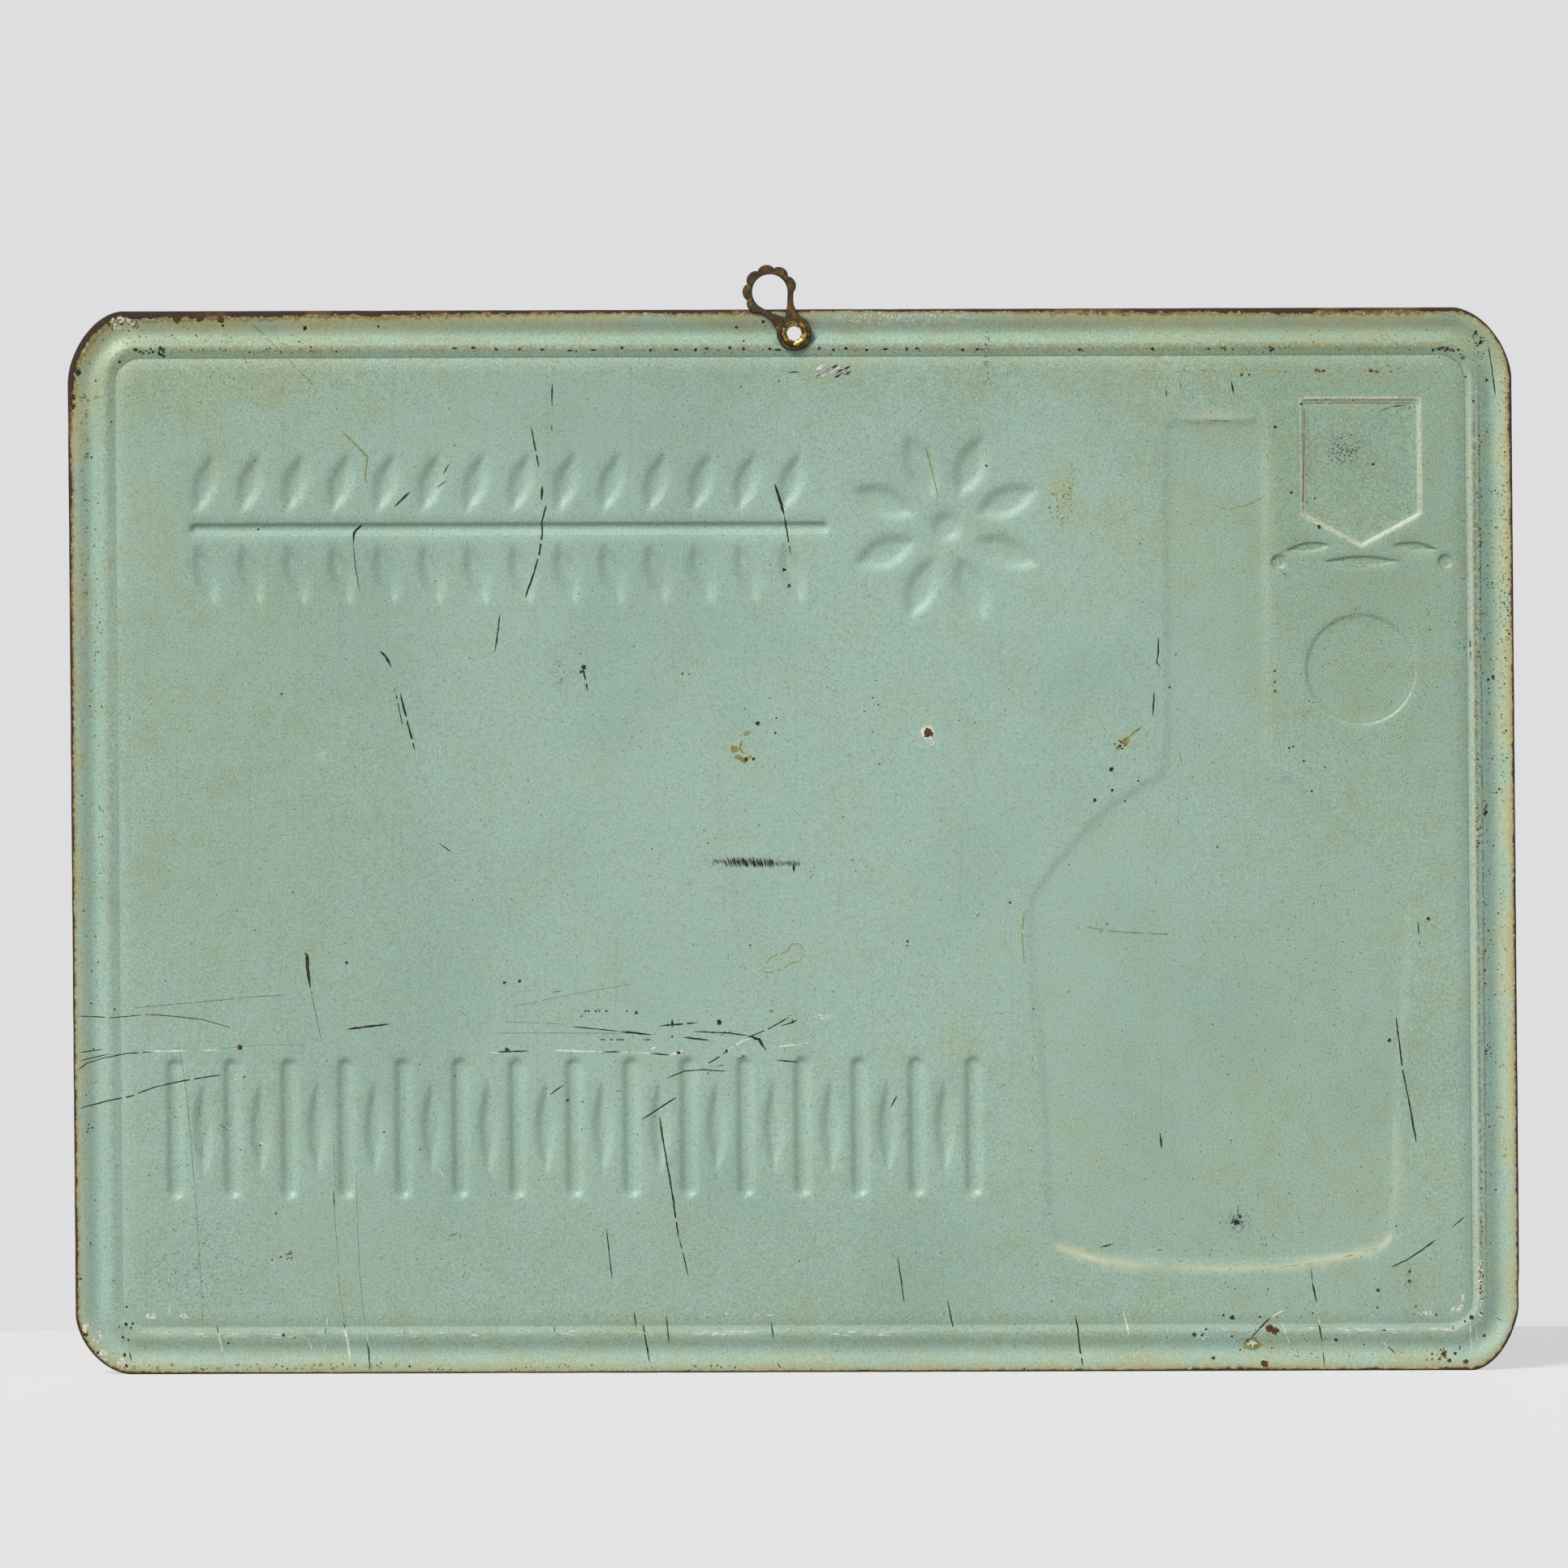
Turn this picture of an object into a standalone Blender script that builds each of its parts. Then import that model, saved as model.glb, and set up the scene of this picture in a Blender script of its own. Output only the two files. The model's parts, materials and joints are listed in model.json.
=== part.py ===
"""A pressed tinplate wall sign with a brass hanger that swivels on its eyelet.

Metres, +Z up. The painted back of the sheet faces -Y, its printed face +Y, and +X is to
the right when the back is looked at. The origin is the place in the hanger's opening
where a nail carries the sign.

Places on the sheet are written as (across, up) from its centre. Heights are counted
from the flat of the panel towards the back, so everything pressed towards the face is
below zero.
"""

import math

import bmesh
import bpy
from mathutils import Vector
from mathutils.geometry import delaunay_2d_cdt

# The sheet

SHEET_WIDTH = 0.400
SHEET_HEIGHT = 0.2945
SHEET_THICKNESS = 0.0003
OUT_OF_SQUARE = 0.00165  # how far the top edge stands to the left of the bottom edge
CORNER_POWER = 1.75  # 2 is an ellipse, less is nearer to a chamfer
# Each corner's length along the horizontal and the upright edge.
CORNER_TOP_LEFT = (0.0151, 0.0198)
CORNER_TOP_RIGHT = (0.0162, 0.0196)
CORNER_BOTTOM_LEFT = (0.0151, 0.0166)
CORNER_BOTTOM_RIGHT = (0.0130, 0.0198)
CORNER_STEPS = 7

# The border pressed round the panel, as distances from the sheet's edge

RIM_WIDTH = 0.0008
RIDGE_DISTANCE = 0.0104
RIDGE_FLAT = 0.0006
GROOVE_DISTANCE = 0.0130
PANEL_DISTANCE = 0.0172
TROUGH_DEPTH = 0.0015
TROUGH_SKEW = 1.25  # above 1 its inner side is the steeper one
GROOVE_DEPTH = 0.00075
PRESSED_AT_BOTTOM = 0.6  # the share of both depths that the bottom side has
GROOVE_CORNER = 0.0070
TROUGH_SHARES = (0, 0.2, 0.4, 0.57, 0.72, 0.86, 1)  # where the trough's facets meet
SLOPE_SHARES = (0, 0.4, 1)  # the same on the slope from the groove to the panel

# The eyelet and the flat seat that it presses into the trough

EYELET_FROM_TOP = 0.0067
EYELET_OFF_CENTRE = 0.0014
EYELET_BORE_RADIUS = 0.00205
EYELET_WALL = 0.0003
EYELET_FLANGE_RADIUS = 0.0037
EYELET_FLANGE_THICKNESS = 0.0004
EYELET_ROLL_RADIUS = 0.0037
EYELET_ROLL_HEIGHT = 0.0009
SEAT_RADIUS = 0.0039
SEAT_SLOPE = 0.0008
RUNNING_GAP = 0.0003

# The hanger: a ring on the eyelet, two straps and a scalloped loop

HANGER_THICKNESS = 0.0006
HANGER_RING_RADIUS = 0.0048
LOOP_DISTANCE = 0.0133  # from the eyelet's centre to the loop's
LOOP_OPENING_RADIUS = 0.0049
LOBE_COUNT = 6
LOBE_SPACING = math.radians(40)
LOBE_TIP_RADIUS = 0.0076
LOBE_NOTCH_RADIUS = 0.0066
LOBE_STEPS = 6
LOBE_FULLNESS = 0.7  # 1 is a plain arch, less is fuller towards the notches
STRAP_STEPS = 4
WAIST_WIDTH = 0.0078  # over both straps, where they are nearest
WAIST_ABOVE_RING = 0.0019
RING_JOIN = math.radians(54)  # where a strap meets the ring, from straight up
RING_STEPS = 20
OPENING_ARC = math.radians(240)
OPENING_STEPS = 24
THROAT_TOP_WIDTH = 0.0052
THROAT_TOP_DROP = 0.0002  # below the round of the opening
THROAT_WIDTH = 0.0014
THROAT_FOOT_RISE = 0.0006
THROAT_ABOVE_RING = 0.0004
HANGER_TURN = math.radians(30.3)

# The emblem column: a shield over a scroll over a disc

EMBLEM_FROM_RIGHT = 0.0419
SHIELD_FROM_TOP = 0.0251
SHIELD_WIDTH = 0.0331
SHIELD_SIDE = 0.0324
SHIELD_POINT = 0.0089
SHIELD_DEPTH = 0.00065
SHIELD_WALL = 0.0010
SCROLL_FROM_TOP = 0.0704
SCROLL_WIDTH = 0.0462
SCROLL_DEPTH = 0.0006
SCROLL_WALL = 0.0010
CURL_RADIUS = 0.0023
ARM_ROOT = (0.0016, 0.0032)  # from the curl's centre, inwards and up
ARM_TIP = (0.0152, 0.0046)
ARM_WIDTH = 0.0035
DISH_LENGTH = 0.0231
DISH_WIDTH = 0.0037
DISC_FROM_RIGHT = 0.0424
DISC_FROM_TOP = 0.1003
DISC_RADIUS = 0.0158
DISC_DEPTH = 0.0004
DISC_WALL = 0.0011

# The flask, pressed very shallow

FLASK_FROM_RIGHT = 0.0823
FLASK_FROM_TOP = 0.0300
FLASK_FROM_BOTTOM = 0.0281
FLASK_DEPTH = 0.0004
FLASK_WALL = 0.0030
MOUTH_WIDTH = 0.0240
MOUTH_HEIGHT = 0.0030
NECK_WIDTH = 0.0300
# Heights above the foot and full widths, from the foot's corner up to the neck's root.
FLASK_SIDE = (
    (0.0022, 0.0640),
    (0.0066, 0.0945),
    (0.0500, 0.1010),
    (0.0930, 0.1080),
    (0.1080, 0.1005),
    (0.1280, 0.0650),
    (0.1360, 0.0420),
    (0.1480, 0.0305),
)
FLASK_STEPS = 3

# The upper band: a laurel that runs to a rosette

LAUREL_FROM_TOP = 0.0604
LAUREL_FROM_LEFT = 0.0350
LEAF_PITCH = 0.0125
LEAF_LENGTH = 0.0190
LEAF_WIDTH = 0.0084
LEAF_LEAN = math.radians(73)
LEAF_OFF_STEM = 0.0036
STEM_WIDTH = 0.0040
ROSETTE_FROM_RIGHT = 0.1570
ROSETTE_RADIUS = 0.0285
ROSETTE_PETALS = 8
PETAL_WIDTH = 0.0105
PETAL_START = 0.0080
ROSETTE_CENTRE_RADIUS = 0.0052
BAND_DEPTH = 0.0010
BAND_WALL = 0.0036
BAND_CLEARANCE = 0.0035

# The lower band: tall flutes with short lenses between them

FLUTES_FROM_BOTTOM = 0.0680
FLUTES_FROM_LEFT = 0.0280
FLUTE_PITCH = 0.0158
FLUTE_HEIGHT = 0.0400
FLUTE_WIDTH = 0.0060
LENS_HEIGHT = 0.0280
LENS_WIDTH = 0.0070

HALVINGS = 24  # of the border's width, when a place's distance from the edge is looked for
ROUND_STEPS = 4  # points on each half round or each side of a leaf
FINE_STEPS = 28  # points round the eyelet, its holes and the large disc
MOST_WALL = 0.8  # a slope's largest share of a pressing's half width

HALF_WIDTH = SHEET_WIDTH / 2
HALF_HEIGHT = SHEET_HEIGHT / 2
EYELET_CENTRE = Vector((EYELET_OFF_CENTRE, HALF_HEIGHT - EYELET_FROM_TOP))
TUBE_RADIUS = EYELET_BORE_RADIUS + EYELET_WALL
HOLE_RADIUS = TUBE_RADIUS + RUNNING_GAP  # in the sheet and in the hanger


# Outlines that can be set in from their edge, and that know how deep inside them a place is


class Disc:
    def __init__(self, centre, radius, depth, wall, steps=3 * ROUND_STEPS):
        self.centre, self.radius, self.steps = Vector(centre), radius, steps
        self.depth, self.wall = depth, min(wall, MOST_WALL * radius)

    def inside(self, place):
        return self.radius - (place - self.centre).length

    def loop(self, inset):
        return circle(self.centre, self.radius - inset, self.steps)


class Flute:
    """A straight groove with round ends."""

    def __init__(self, start, end, radius, depth, wall):
        self.start, self.end, self.radius = Vector(start), Vector(end), radius
        self.depth, self.wall = depth, min(wall, MOST_WALL * radius)

    def inside(self, place):
        return self.radius - edge_gap(place, self.start, self.end)

    def loop(self, inset):
        along = self.end - self.start
        heading = math.atan2(along.y, along.x)
        points = []
        for centre, first in ((self.start, 0.5), (self.end, -0.5)):
            for i in range(ROUND_STEPS + 1):
                angle = heading + math.pi * (first + i / ROUND_STEPS)
                points.append(centre + turned(self.radius - inset, angle))
        return points


class Lens:
    """A leaf with two pointed ends, where two equal circles overlap."""

    def __init__(self, base, tip, width, depth, wall):
        base, tip = Vector(base), Vector(tip)
        half_length, half_width = (tip - base).length / 2, width / 2
        self.radius = (half_length**2 + half_width**2) / width
        self.offset = self.radius - half_width
        along = (tip - base).normalized()
        self.across = Vector((-along.y, along.x))
        self.middle = (base + tip) / 2
        self.depth, self.wall = depth, min(wall, MOST_WALL * half_width)

    def inside(self, place):
        centres = [self.middle + self.across * side * self.offset for side in (-1, 1)]
        return self.radius - max((place - centre).length for centre in centres)

    def loop(self, inset):
        radius = self.radius - inset
        half_angle = math.acos(self.offset / radius)
        points = []
        for side in (-1, 1):
            heading = math.atan2(-side * self.across.y, -side * self.across.x)
            centre = self.middle + self.across * side * self.offset
            for i in range(ROUND_STEPS):
                angle = heading + half_angle * (2 * i / ROUND_STEPS - 1)
                points.append(centre + turned(radius, angle))
        return points


class Polygon:
    """A closed outline with straight edges, its points counterclockwise."""

    def __init__(self, points, depth, wall):
        self.points = [Vector(point) for point in points]
        self.depth, self.wall = depth, wall

    def inside(self, place):
        nearest = min(edge_gap(place, a, b) for a, b in neighbours(self.points))
        return nearest if contains(self.points, place) else -nearest

    def loop(self, inset):
        lines = []
        for a, b in neighbours(self.points):
            along = (b - a).normalized()
            inward = Vector((-along.y, along.x)) * inset
            lines.append((a + inward, along))
        return [crossing(lines[i - 1], lines[i]) for i in range(len(lines))]


def turned(radius, angle):
    return Vector((radius * math.cos(angle), radius * math.sin(angle)))


def circle(centre, radius, steps):
    return [centre + turned(radius, 2 * math.pi * i / steps) for i in range(steps)]


def neighbours(points):
    return zip(points, points[1:] + points[:1])


def edge_gap(place, a, b):
    along = b - a
    share = (place - a).dot(along) / along.length_squared
    return (place - a - along * min(max(share, 0), 1)).length


def contains(points, place):
    """Whether a place lies in a closed outline, by the edges to the right of it."""
    found = False
    for a, b in neighbours(points):
        if (a.y > place.y) != (b.y > place.y):
            if place.x < a.x + (place.y - a.y) * (b.x - a.x) / (b.y - a.y):
                found = not found
    return found


def crossing(first, second):
    (start, along), (other, heading) = first, second
    turn = along.cross(heading)
    if abs(turn) < 1e-6:
        return other.copy()
    return start + along * ((other - start).cross(heading) / turn)


def smooth_run(points, steps):
    """A curve through points, from the second one to the last but one."""
    found = []
    for i in range(1, len(points) - 2):
        before, a, b, after = (Vector(point) for point in points[i - 1 : i + 3])
        for step in range(steps):
            t = step / steps
            found.append(
                a
                + (b - before) * (t / 2)
                + (2 * before - 5 * a + 4 * b - after) * (t**2 / 2)
                + (3 * a - before - 3 * b + after) * (t**3 / 2)
            )
    return found


# The border


def corner_at(across, up):
    """The sizes of the corner in the quarter that a place is in."""
    if up > 0:
        return CORNER_TOP_LEFT if across < 0 else CORNER_TOP_RIGHT
    return CORNER_BOTTOM_LEFT if across < 0 else CORNER_BOTTOM_RIGHT


def corner_sizes(across, up, distance):
    """The corner's two lengths and its power on the line this far in from the edge."""
    share = min(distance / GROOVE_DISTANCE, 1)
    run, rise = (
        size + (GROOVE_CORNER - size) * share for size in corner_at(across, up)
    )
    return run, rise, CORNER_POWER + (2 - CORNER_POWER) * share


def border_loop(distance):
    """The line round the sheet at this distance in from its edge, counterclockwise."""
    points = []
    for quarter in range(4):
        side = (-1 if quarter in (1, 2) else 1, 1 if quarter < 2 else -1)
        run, rise, power = corner_sizes(*side, distance)
        for i in range(CORNER_STEPS + 1):
            angle = math.pi / 2 * (quarter + i / CORNER_STEPS)
            across = abs(math.cos(angle)) ** (2 / power)
            up = abs(math.sin(angle)) ** (2 / power)
            points.append(
                Vector(
                    (
                        side[0] * (HALF_WIDTH - distance - run * (1 - across)),
                        side[1] * (HALF_HEIGHT - distance - rise * (1 - up)),
                    )
                )
            )
    return points


def within_border_line(place, distance):
    run, rise, power = corner_sizes(place.x, place.y, distance)
    past_across = abs(place.x) - (HALF_WIDTH - distance - run)
    past_up = abs(place.y) - (HALF_HEIGHT - distance - rise)
    if past_across > run or past_up > rise:
        return False
    if past_across <= 0 or past_up <= 0:
        return True
    return (past_across / run) ** power + (past_up / rise) ** power <= 1


def distance_from_edge(place):
    """How far in a place lies, up to the panel, found by halving."""
    low, high = 0.0, PANEL_DISTANCE
    if within_border_line(place, high):
        return high
    for _ in range(HALVINGS):
        middle = (low + high) / 2
        if within_border_line(place, middle):
            low = middle
        else:
            high = middle
    return low


def border_height(distance):
    if distance <= RIM_WIDTH or distance >= PANEL_DISTANCE:
        return 0.0
    if distance <= RIDGE_DISTANCE:
        share = (distance - RIM_WIDTH) / (RIDGE_DISTANCE - RIM_WIDTH)
        return -TROUGH_DEPTH * (0.5 - 0.5 * math.cos(2 * math.pi * share**TROUGH_SKEW))
    ridge_end = RIDGE_DISTANCE + RIDGE_FLAT
    if distance <= ridge_end:
        return 0.0
    if distance <= GROOVE_DISTANCE:
        return -GROOVE_DEPTH * (distance - ridge_end) / (GROOVE_DISTANCE - ridge_end)
    share = (distance - GROOVE_DISTANCE) / (PANEL_DISTANCE - GROOVE_DISTANCE)
    return -GROOVE_DEPTH * (1 - share) ** 2


def pressed_share(place):
    """How much of the border's full depth it has here: less near the bottom side."""
    to_bottom = HALF_HEIGHT + place.y
    to_others = min(HALF_WIDTH - abs(place.x), HALF_HEIGHT - place.y)
    nearness = to_others**2 / (to_others**2 + to_bottom**2)
    return 1 - (1 - PRESSED_AT_BOTTOM) * nearness


def border_distances():
    trough = RIDGE_DISTANCE - RIM_WIDTH
    slope = PANEL_DISTANCE - GROOVE_DISTANCE
    found = [0.0]
    found += [RIM_WIDTH + trough * share for share in TROUGH_SHARES]
    found.append(RIDGE_DISTANCE + RIDGE_FLAT)
    found += [GROOVE_DISTANCE + slope * share for share in SLOPE_SHARES]
    return found


# What is pressed into the panel


def shield():
    centre = HALF_WIDTH - EMBLEM_FROM_RIGHT
    top = HALF_HEIGHT - SHIELD_FROM_TOP
    left, right = centre - SHIELD_WIDTH / 2, centre + SHIELD_WIDTH / 2
    foot = top - SHIELD_SIDE
    points = [
        (left, top),
        (left, foot),
        (centre, foot - SHIELD_POINT),
        (right, foot),
        (right, top),
    ]
    return [Polygon(points, SHIELD_DEPTH, SHIELD_WALL)]


def scroll():
    """A curl at each end, an arm that rises from it, and a dish between the arms."""
    centre = HALF_WIDTH - EMBLEM_FROM_RIGHT
    up = HALF_HEIGHT - SCROLL_FROM_TOP
    pieces = []
    for side in (-1, 1):
        curl = centre + side * SCROLL_WIDTH / 2
        pieces.append(Disc((curl, up), CURL_RADIUS, SCROLL_DEPTH, SCROLL_WALL))
        base, tip = ((curl - side * inward, up + rise) for inward, rise in (ARM_ROOT, ARM_TIP))
        pieces.append(Lens(base, tip, ARM_WIDTH, SCROLL_DEPTH, SCROLL_WALL))
    base, tip = (centre - DISH_LENGTH / 2, up), (centre + DISH_LENGTH / 2, up)
    pieces.append(Lens(base, tip, DISH_WIDTH, SCROLL_DEPTH, SCROLL_WALL))
    return pieces


def disc():
    centre = (HALF_WIDTH - DISC_FROM_RIGHT, HALF_HEIGHT - DISC_FROM_TOP)
    return [Disc(centre, DISC_RADIUS, DISC_DEPTH, DISC_WALL, FINE_STEPS)]


def flask():
    axis = HALF_WIDTH - FLASK_FROM_RIGHT
    top = HALF_HEIGHT - FLASK_FROM_TOP
    foot = -HALF_HEIGHT + FLASK_FROM_BOTTOM
    side = [(width / 2, foot + height) for height, width in FLASK_SIDE]
    neck = [(NECK_WIDTH / 2, top - MOUTH_HEIGHT), (MOUTH_WIDTH / 2, top)]
    right = smooth_run([side[0]] + side + neck[:1], FLASK_STEPS) + [side[-1]] + neck
    right = [Vector(point) for point in right]
    left = [Vector((-point.x, point.y)) for point in reversed(right)]
    points = [Vector((0, foot))] + right + left
    return [Polygon([(axis + x, y) for x, y in points], FLASK_DEPTH, FLASK_WALL)]


def rosette_centre():
    return Vector((HALF_WIDTH - ROSETTE_FROM_RIGHT, HALF_HEIGHT - LAUREL_FROM_TOP))


def rosette():
    centre = rosette_centre()
    pieces = [Disc(centre, ROSETTE_CENTRE_RADIUS, BAND_DEPTH, BAND_WALL)]
    for i in range(ROSETTE_PETALS):
        angle = 2 * math.pi * (i + 0.5) / ROSETTE_PETALS
        base, tip = turned(PETAL_START, angle), turned(ROSETTE_RADIUS, angle)
        pieces.append(
            Lens(centre + base, centre + tip, PETAL_WIDTH, BAND_DEPTH, BAND_WALL)
        )
    return pieces


def laurel():
    """Pairs of leaves that lean along a straight stem towards the rosette."""
    start = -HALF_WIDTH + LAUREL_FROM_LEFT
    end = rosette_centre().x - ROSETTE_RADIUS - BAND_CLEARANCE
    up = HALF_HEIGHT - LAUREL_FROM_TOP
    reach = LEAF_LENGTH * math.cos(LEAF_LEAN)
    pairs = int((end - start - reach) / LEAF_PITCH) + 1
    radius = STEM_WIDTH / 2
    pieces = [Flute((start, up), (end - radius, up), radius, BAND_DEPTH, BAND_WALL)]
    for i in range(pairs):
        for side in (-1, 1):
            base = Vector((start + i * LEAF_PITCH, up + side * LEAF_OFF_STEM))
            tip = base + turned(LEAF_LENGTH, side * LEAF_LEAN)
            pieces.append(Lens(base, tip, LEAF_WIDTH, BAND_DEPTH, BAND_WALL))
    return pieces


def flutes():
    start = -HALF_WIDTH + FLUTES_FROM_LEFT
    widest = max(width for _, width in FLASK_SIDE)
    end = HALF_WIDTH - FLASK_FROM_RIGHT - widest / 2 - BAND_CLEARANCE
    count = int((end - start) / FLUTE_PITCH) + 1
    middle = -HALF_HEIGHT + FLUTES_FROM_BOTTOM
    radius = FLUTE_WIDTH / 2
    straight = FLUTE_HEIGHT / 2 - radius
    pieces = []
    for i in range(count):
        across = start + i * FLUTE_PITCH
        low, high = (across, middle - straight), (across, middle + straight)
        pieces.append(Flute(low, high, radius, BAND_DEPTH, BAND_WALL))
        if i:
            between = across - FLUTE_PITCH / 2
            low = (between, middle - LENS_HEIGHT / 2)
            high = (between, middle + LENS_HEIGHT / 2)
            pieces.append(Lens(low, high, LENS_WIDTH, BAND_DEPTH, BAND_WALL))
    return pieces


def pressings():
    return shield() + scroll() + disc() + flask() + rosette() + laurel() + flutes()


# The sheet


def height_at(place, pressed):
    height = border_height(distance_from_edge(place)) * pressed_share(place)
    for piece in pressed:
        share = piece.inside(place) / piece.wall
        height = min(height, -piece.depth * min(max(share, 0), 1))
    past_seat = (place - EYELET_CENTRE).length - SEAT_RADIUS
    share = min(max(past_seat / SEAT_SLOPE, 0), 1)
    return -TROUGH_DEPTH + (height + TROUGH_DEPTH) * share


def laid(place, height):
    """A place on the sheet as a point in space, with the sheet's lean."""
    lean = OUT_OF_SQUARE / SHEET_HEIGHT
    return Vector((place.x - lean * place.y, -height, place.y))


def sheet_surface():
    """The back of the sheet, triangulated between the lines where its slope changes."""
    pressed = pressings()
    loops = [border_loop(distance) for distance in border_distances()]
    loops += [piece.loop(inset) for piece in pressed for inset in (0, piece.wall)]
    for radius in (SEAT_RADIUS + SEAT_SLOPE, SEAT_RADIUS, HOLE_RADIUS):
        loops.append(circle(EYELET_CENTRE, radius, FINE_STEPS))
    hole = loops[-1]
    places, edges = [], []
    for loop in loops:
        first = len(places)
        places += loop
        edges += [(first + i, first + (i + 1) % len(loop)) for i in range(len(loop))]
    found = delaunay_2d_cdt(places, edges, [], 0, 1e-6)
    mesh = bmesh.new()
    corners = [mesh.verts.new(laid(place, height_at(place, pressed))) for place in found[0]]
    for face in found[2]:
        middle = sum((found[0][i] for i in face), Vector((0, 0))) / len(face)
        if not contains(hole, middle):
            mesh.faces.new([corners[i] for i in face])
    loose = [corner for corner in mesh.verts if not corner.link_faces]
    bmesh.ops.delete(mesh, geom=loose, context="VERTS")
    bmesh.ops.recalc_face_normals(mesh, faces=mesh.faces)
    mesh.faces.ensure_lookup_table()
    if mesh.faces[0].normal.y > 0:
        bmesh.ops.reverse_faces(mesh, faces=mesh.faces)
    return mesh


def make_sheet(collection, carrier):
    data = bpy.data.meshes.new("tin_sheet")
    surface = sheet_surface()
    surface.to_mesh(data)
    surface.free()
    sheet = placed("tin_sheet", data, collection, carrier, Vector((0, 0, 0)))
    wall = sheet.modifiers.new("thickness", "SOLIDIFY")
    wall.thickness = SHEET_THICKNESS
    wall.offset = -1
    sheet.data.materials.append(
        finish("sea_green_enamel", (0.30, 0.41, 0.33), roughness=0.45, metallic=0)
    )
    return sheet


# The eyelet


def eyelet_profile():
    """The tube's section as (radius, height), down its outer side and up its bore."""
    bore = EYELET_BORE_RADIUS
    roll_foot = RUNNING_GAP + HANGER_THICKNESS + RUNNING_GAP
    roll_middle = (bore + EYELET_ROLL_RADIUS) / 2
    half = (EYELET_ROLL_RADIUS - bore) / 2
    face = -TROUGH_DEPTH - SHEET_THICKNESS - RUNNING_GAP
    end = face - EYELET_FLANGE_THICKNESS
    section = []
    for i in range(ROUND_STEPS + 1):
        angle = math.pi * (1 - i / ROUND_STEPS)
        section.append(
            (
                roll_middle + half * math.cos(angle),
                roll_foot + EYELET_ROLL_HEIGHT * math.sin(angle),
            )
        )
    section += [
        (TUBE_RADIUS, roll_foot),
        (TUBE_RADIUS, face),
        (EYELET_FLANGE_RADIUS, face),
        (EYELET_FLANGE_RADIUS - EYELET_FLANGE_THICKNESS / 2, end),
        (bore, end),
    ]
    return section


def make_eyelet(collection, carrier, centre):
    data = bpy.data.meshes.new("eyelet")
    section = eyelet_profile()
    count = len(section)
    data.from_pydata(
        [(radius, 0, height) for radius, height in section],
        [(i, (i + 1) % count) for i in range(count)],
        [],
    )
    eyelet = placed("eyelet", data, collection, carrier, centre)
    eyelet.rotation_euler = (math.pi / 2, 0, 0)
    turn = eyelet.modifiers.new("turned", "SCREW")
    turn.axis = "Z"
    turn.steps = turn.render_steps = FINE_STEPS
    turn.merge_threshold = 0.00001
    data.materials.append(finish("brass", (0.48, 0.34, 0.12), roughness=0.35, metallic=1))
    return eyelet


# The hanger


def scalloped_edge():
    """The lobes round the loop, from its right end over the top to its left end."""
    centre = Vector((0, LOOP_DISTANCE))
    span = LOBE_COUNT * LOBE_SPACING
    steps = LOBE_COUNT * LOBE_STEPS
    points = []
    for i in range(steps + 1):
        angle = math.pi / 2 - span / 2 + span * i / steps
        bulge = abs(math.sin(math.pi * i / LOBE_STEPS)) ** LOBE_FULLNESS
        radius = LOBE_NOTCH_RADIUS + (LOBE_TIP_RADIUS - LOBE_NOTCH_RADIUS) * bulge
        points.append(centre + turned(radius, angle))
    return points


def hanger_outline():
    edge = scalloped_edge()
    around = 2 * math.pi - 2 * RING_JOIN
    ring = [
        turned(HANGER_RING_RADIUS, math.pi / 2 + RING_JOIN + around * i / RING_STEPS)
        for i in range(RING_STEPS + 1)
    ]
    half, up = WAIST_WIDTH / 2, HANGER_RING_RADIUS + WAIST_ABOVE_RING
    left = smooth_run([edge[-2], edge[-1], (-half, up), ring[0], ring[1]], STRAP_STEPS)
    right = smooth_run([ring[-2], ring[-1], (half, up), edge[0], edge[1]], STRAP_STEPS)
    return edge + left[1:] + ring + right[1:]


def hanger_opening():
    """The round opening with its throat, which runs down between the straps."""
    centre = Vector((0, LOOP_DISTANCE))
    first = (math.pi - OPENING_ARC) / 2
    arc = [
        centre + turned(LOOP_OPENING_RADIUS, first + OPENING_ARC * i / OPENING_STEPS)
        for i in range(OPENING_STEPS + 1)
    ]
    top = LOOP_DISTANCE - LOOP_OPENING_RADIUS - THROAT_TOP_DROP
    foot = HANGER_RING_RADIUS + THROAT_ABOVE_RING
    left = [
        Vector((-THROAT_TOP_WIDTH / 2, top)),
        Vector((-THROAT_WIDTH / 2, foot + THROAT_FOOT_RISE)),
    ]
    right = [Vector((-point.x, point.y)) for point in reversed(left)]
    return arc + left + [Vector((0, foot))] + right


def make_hanger(collection, carrier, centre):
    curve = bpy.data.curves.new("hanger_loop", "CURVE")
    curve.dimensions = "2D"
    curve.fill_mode = "BOTH"
    curve.extrude = HANGER_THICKNESS / 2
    hole = circle(Vector((0, 0)), HOLE_RADIUS, FINE_STEPS)
    for outline in (hanger_outline(), hanger_opening(), hole):
        spline = curve.splines.new("POLY")
        spline.points.add(len(outline) - 1)
        for point, place in zip(spline.points, outline):
            point.co = (place.x, place.y, 0, 1)
        spline.use_cyclic_u = True
    middle = centre + Vector((0, -(RUNNING_GAP + HANGER_THICKNESS / 2), 0))
    hanger = placed("hanger_loop", curve, collection, carrier, middle)
    hanger.rotation_euler = (math.pi / 2, -HANGER_TURN, 0)
    curve.materials.append(
        finish("tarnished_brass", (0.20, 0.13, 0.06), roughness=0.5, metallic=1)
    )
    return hanger


# The scene


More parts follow.
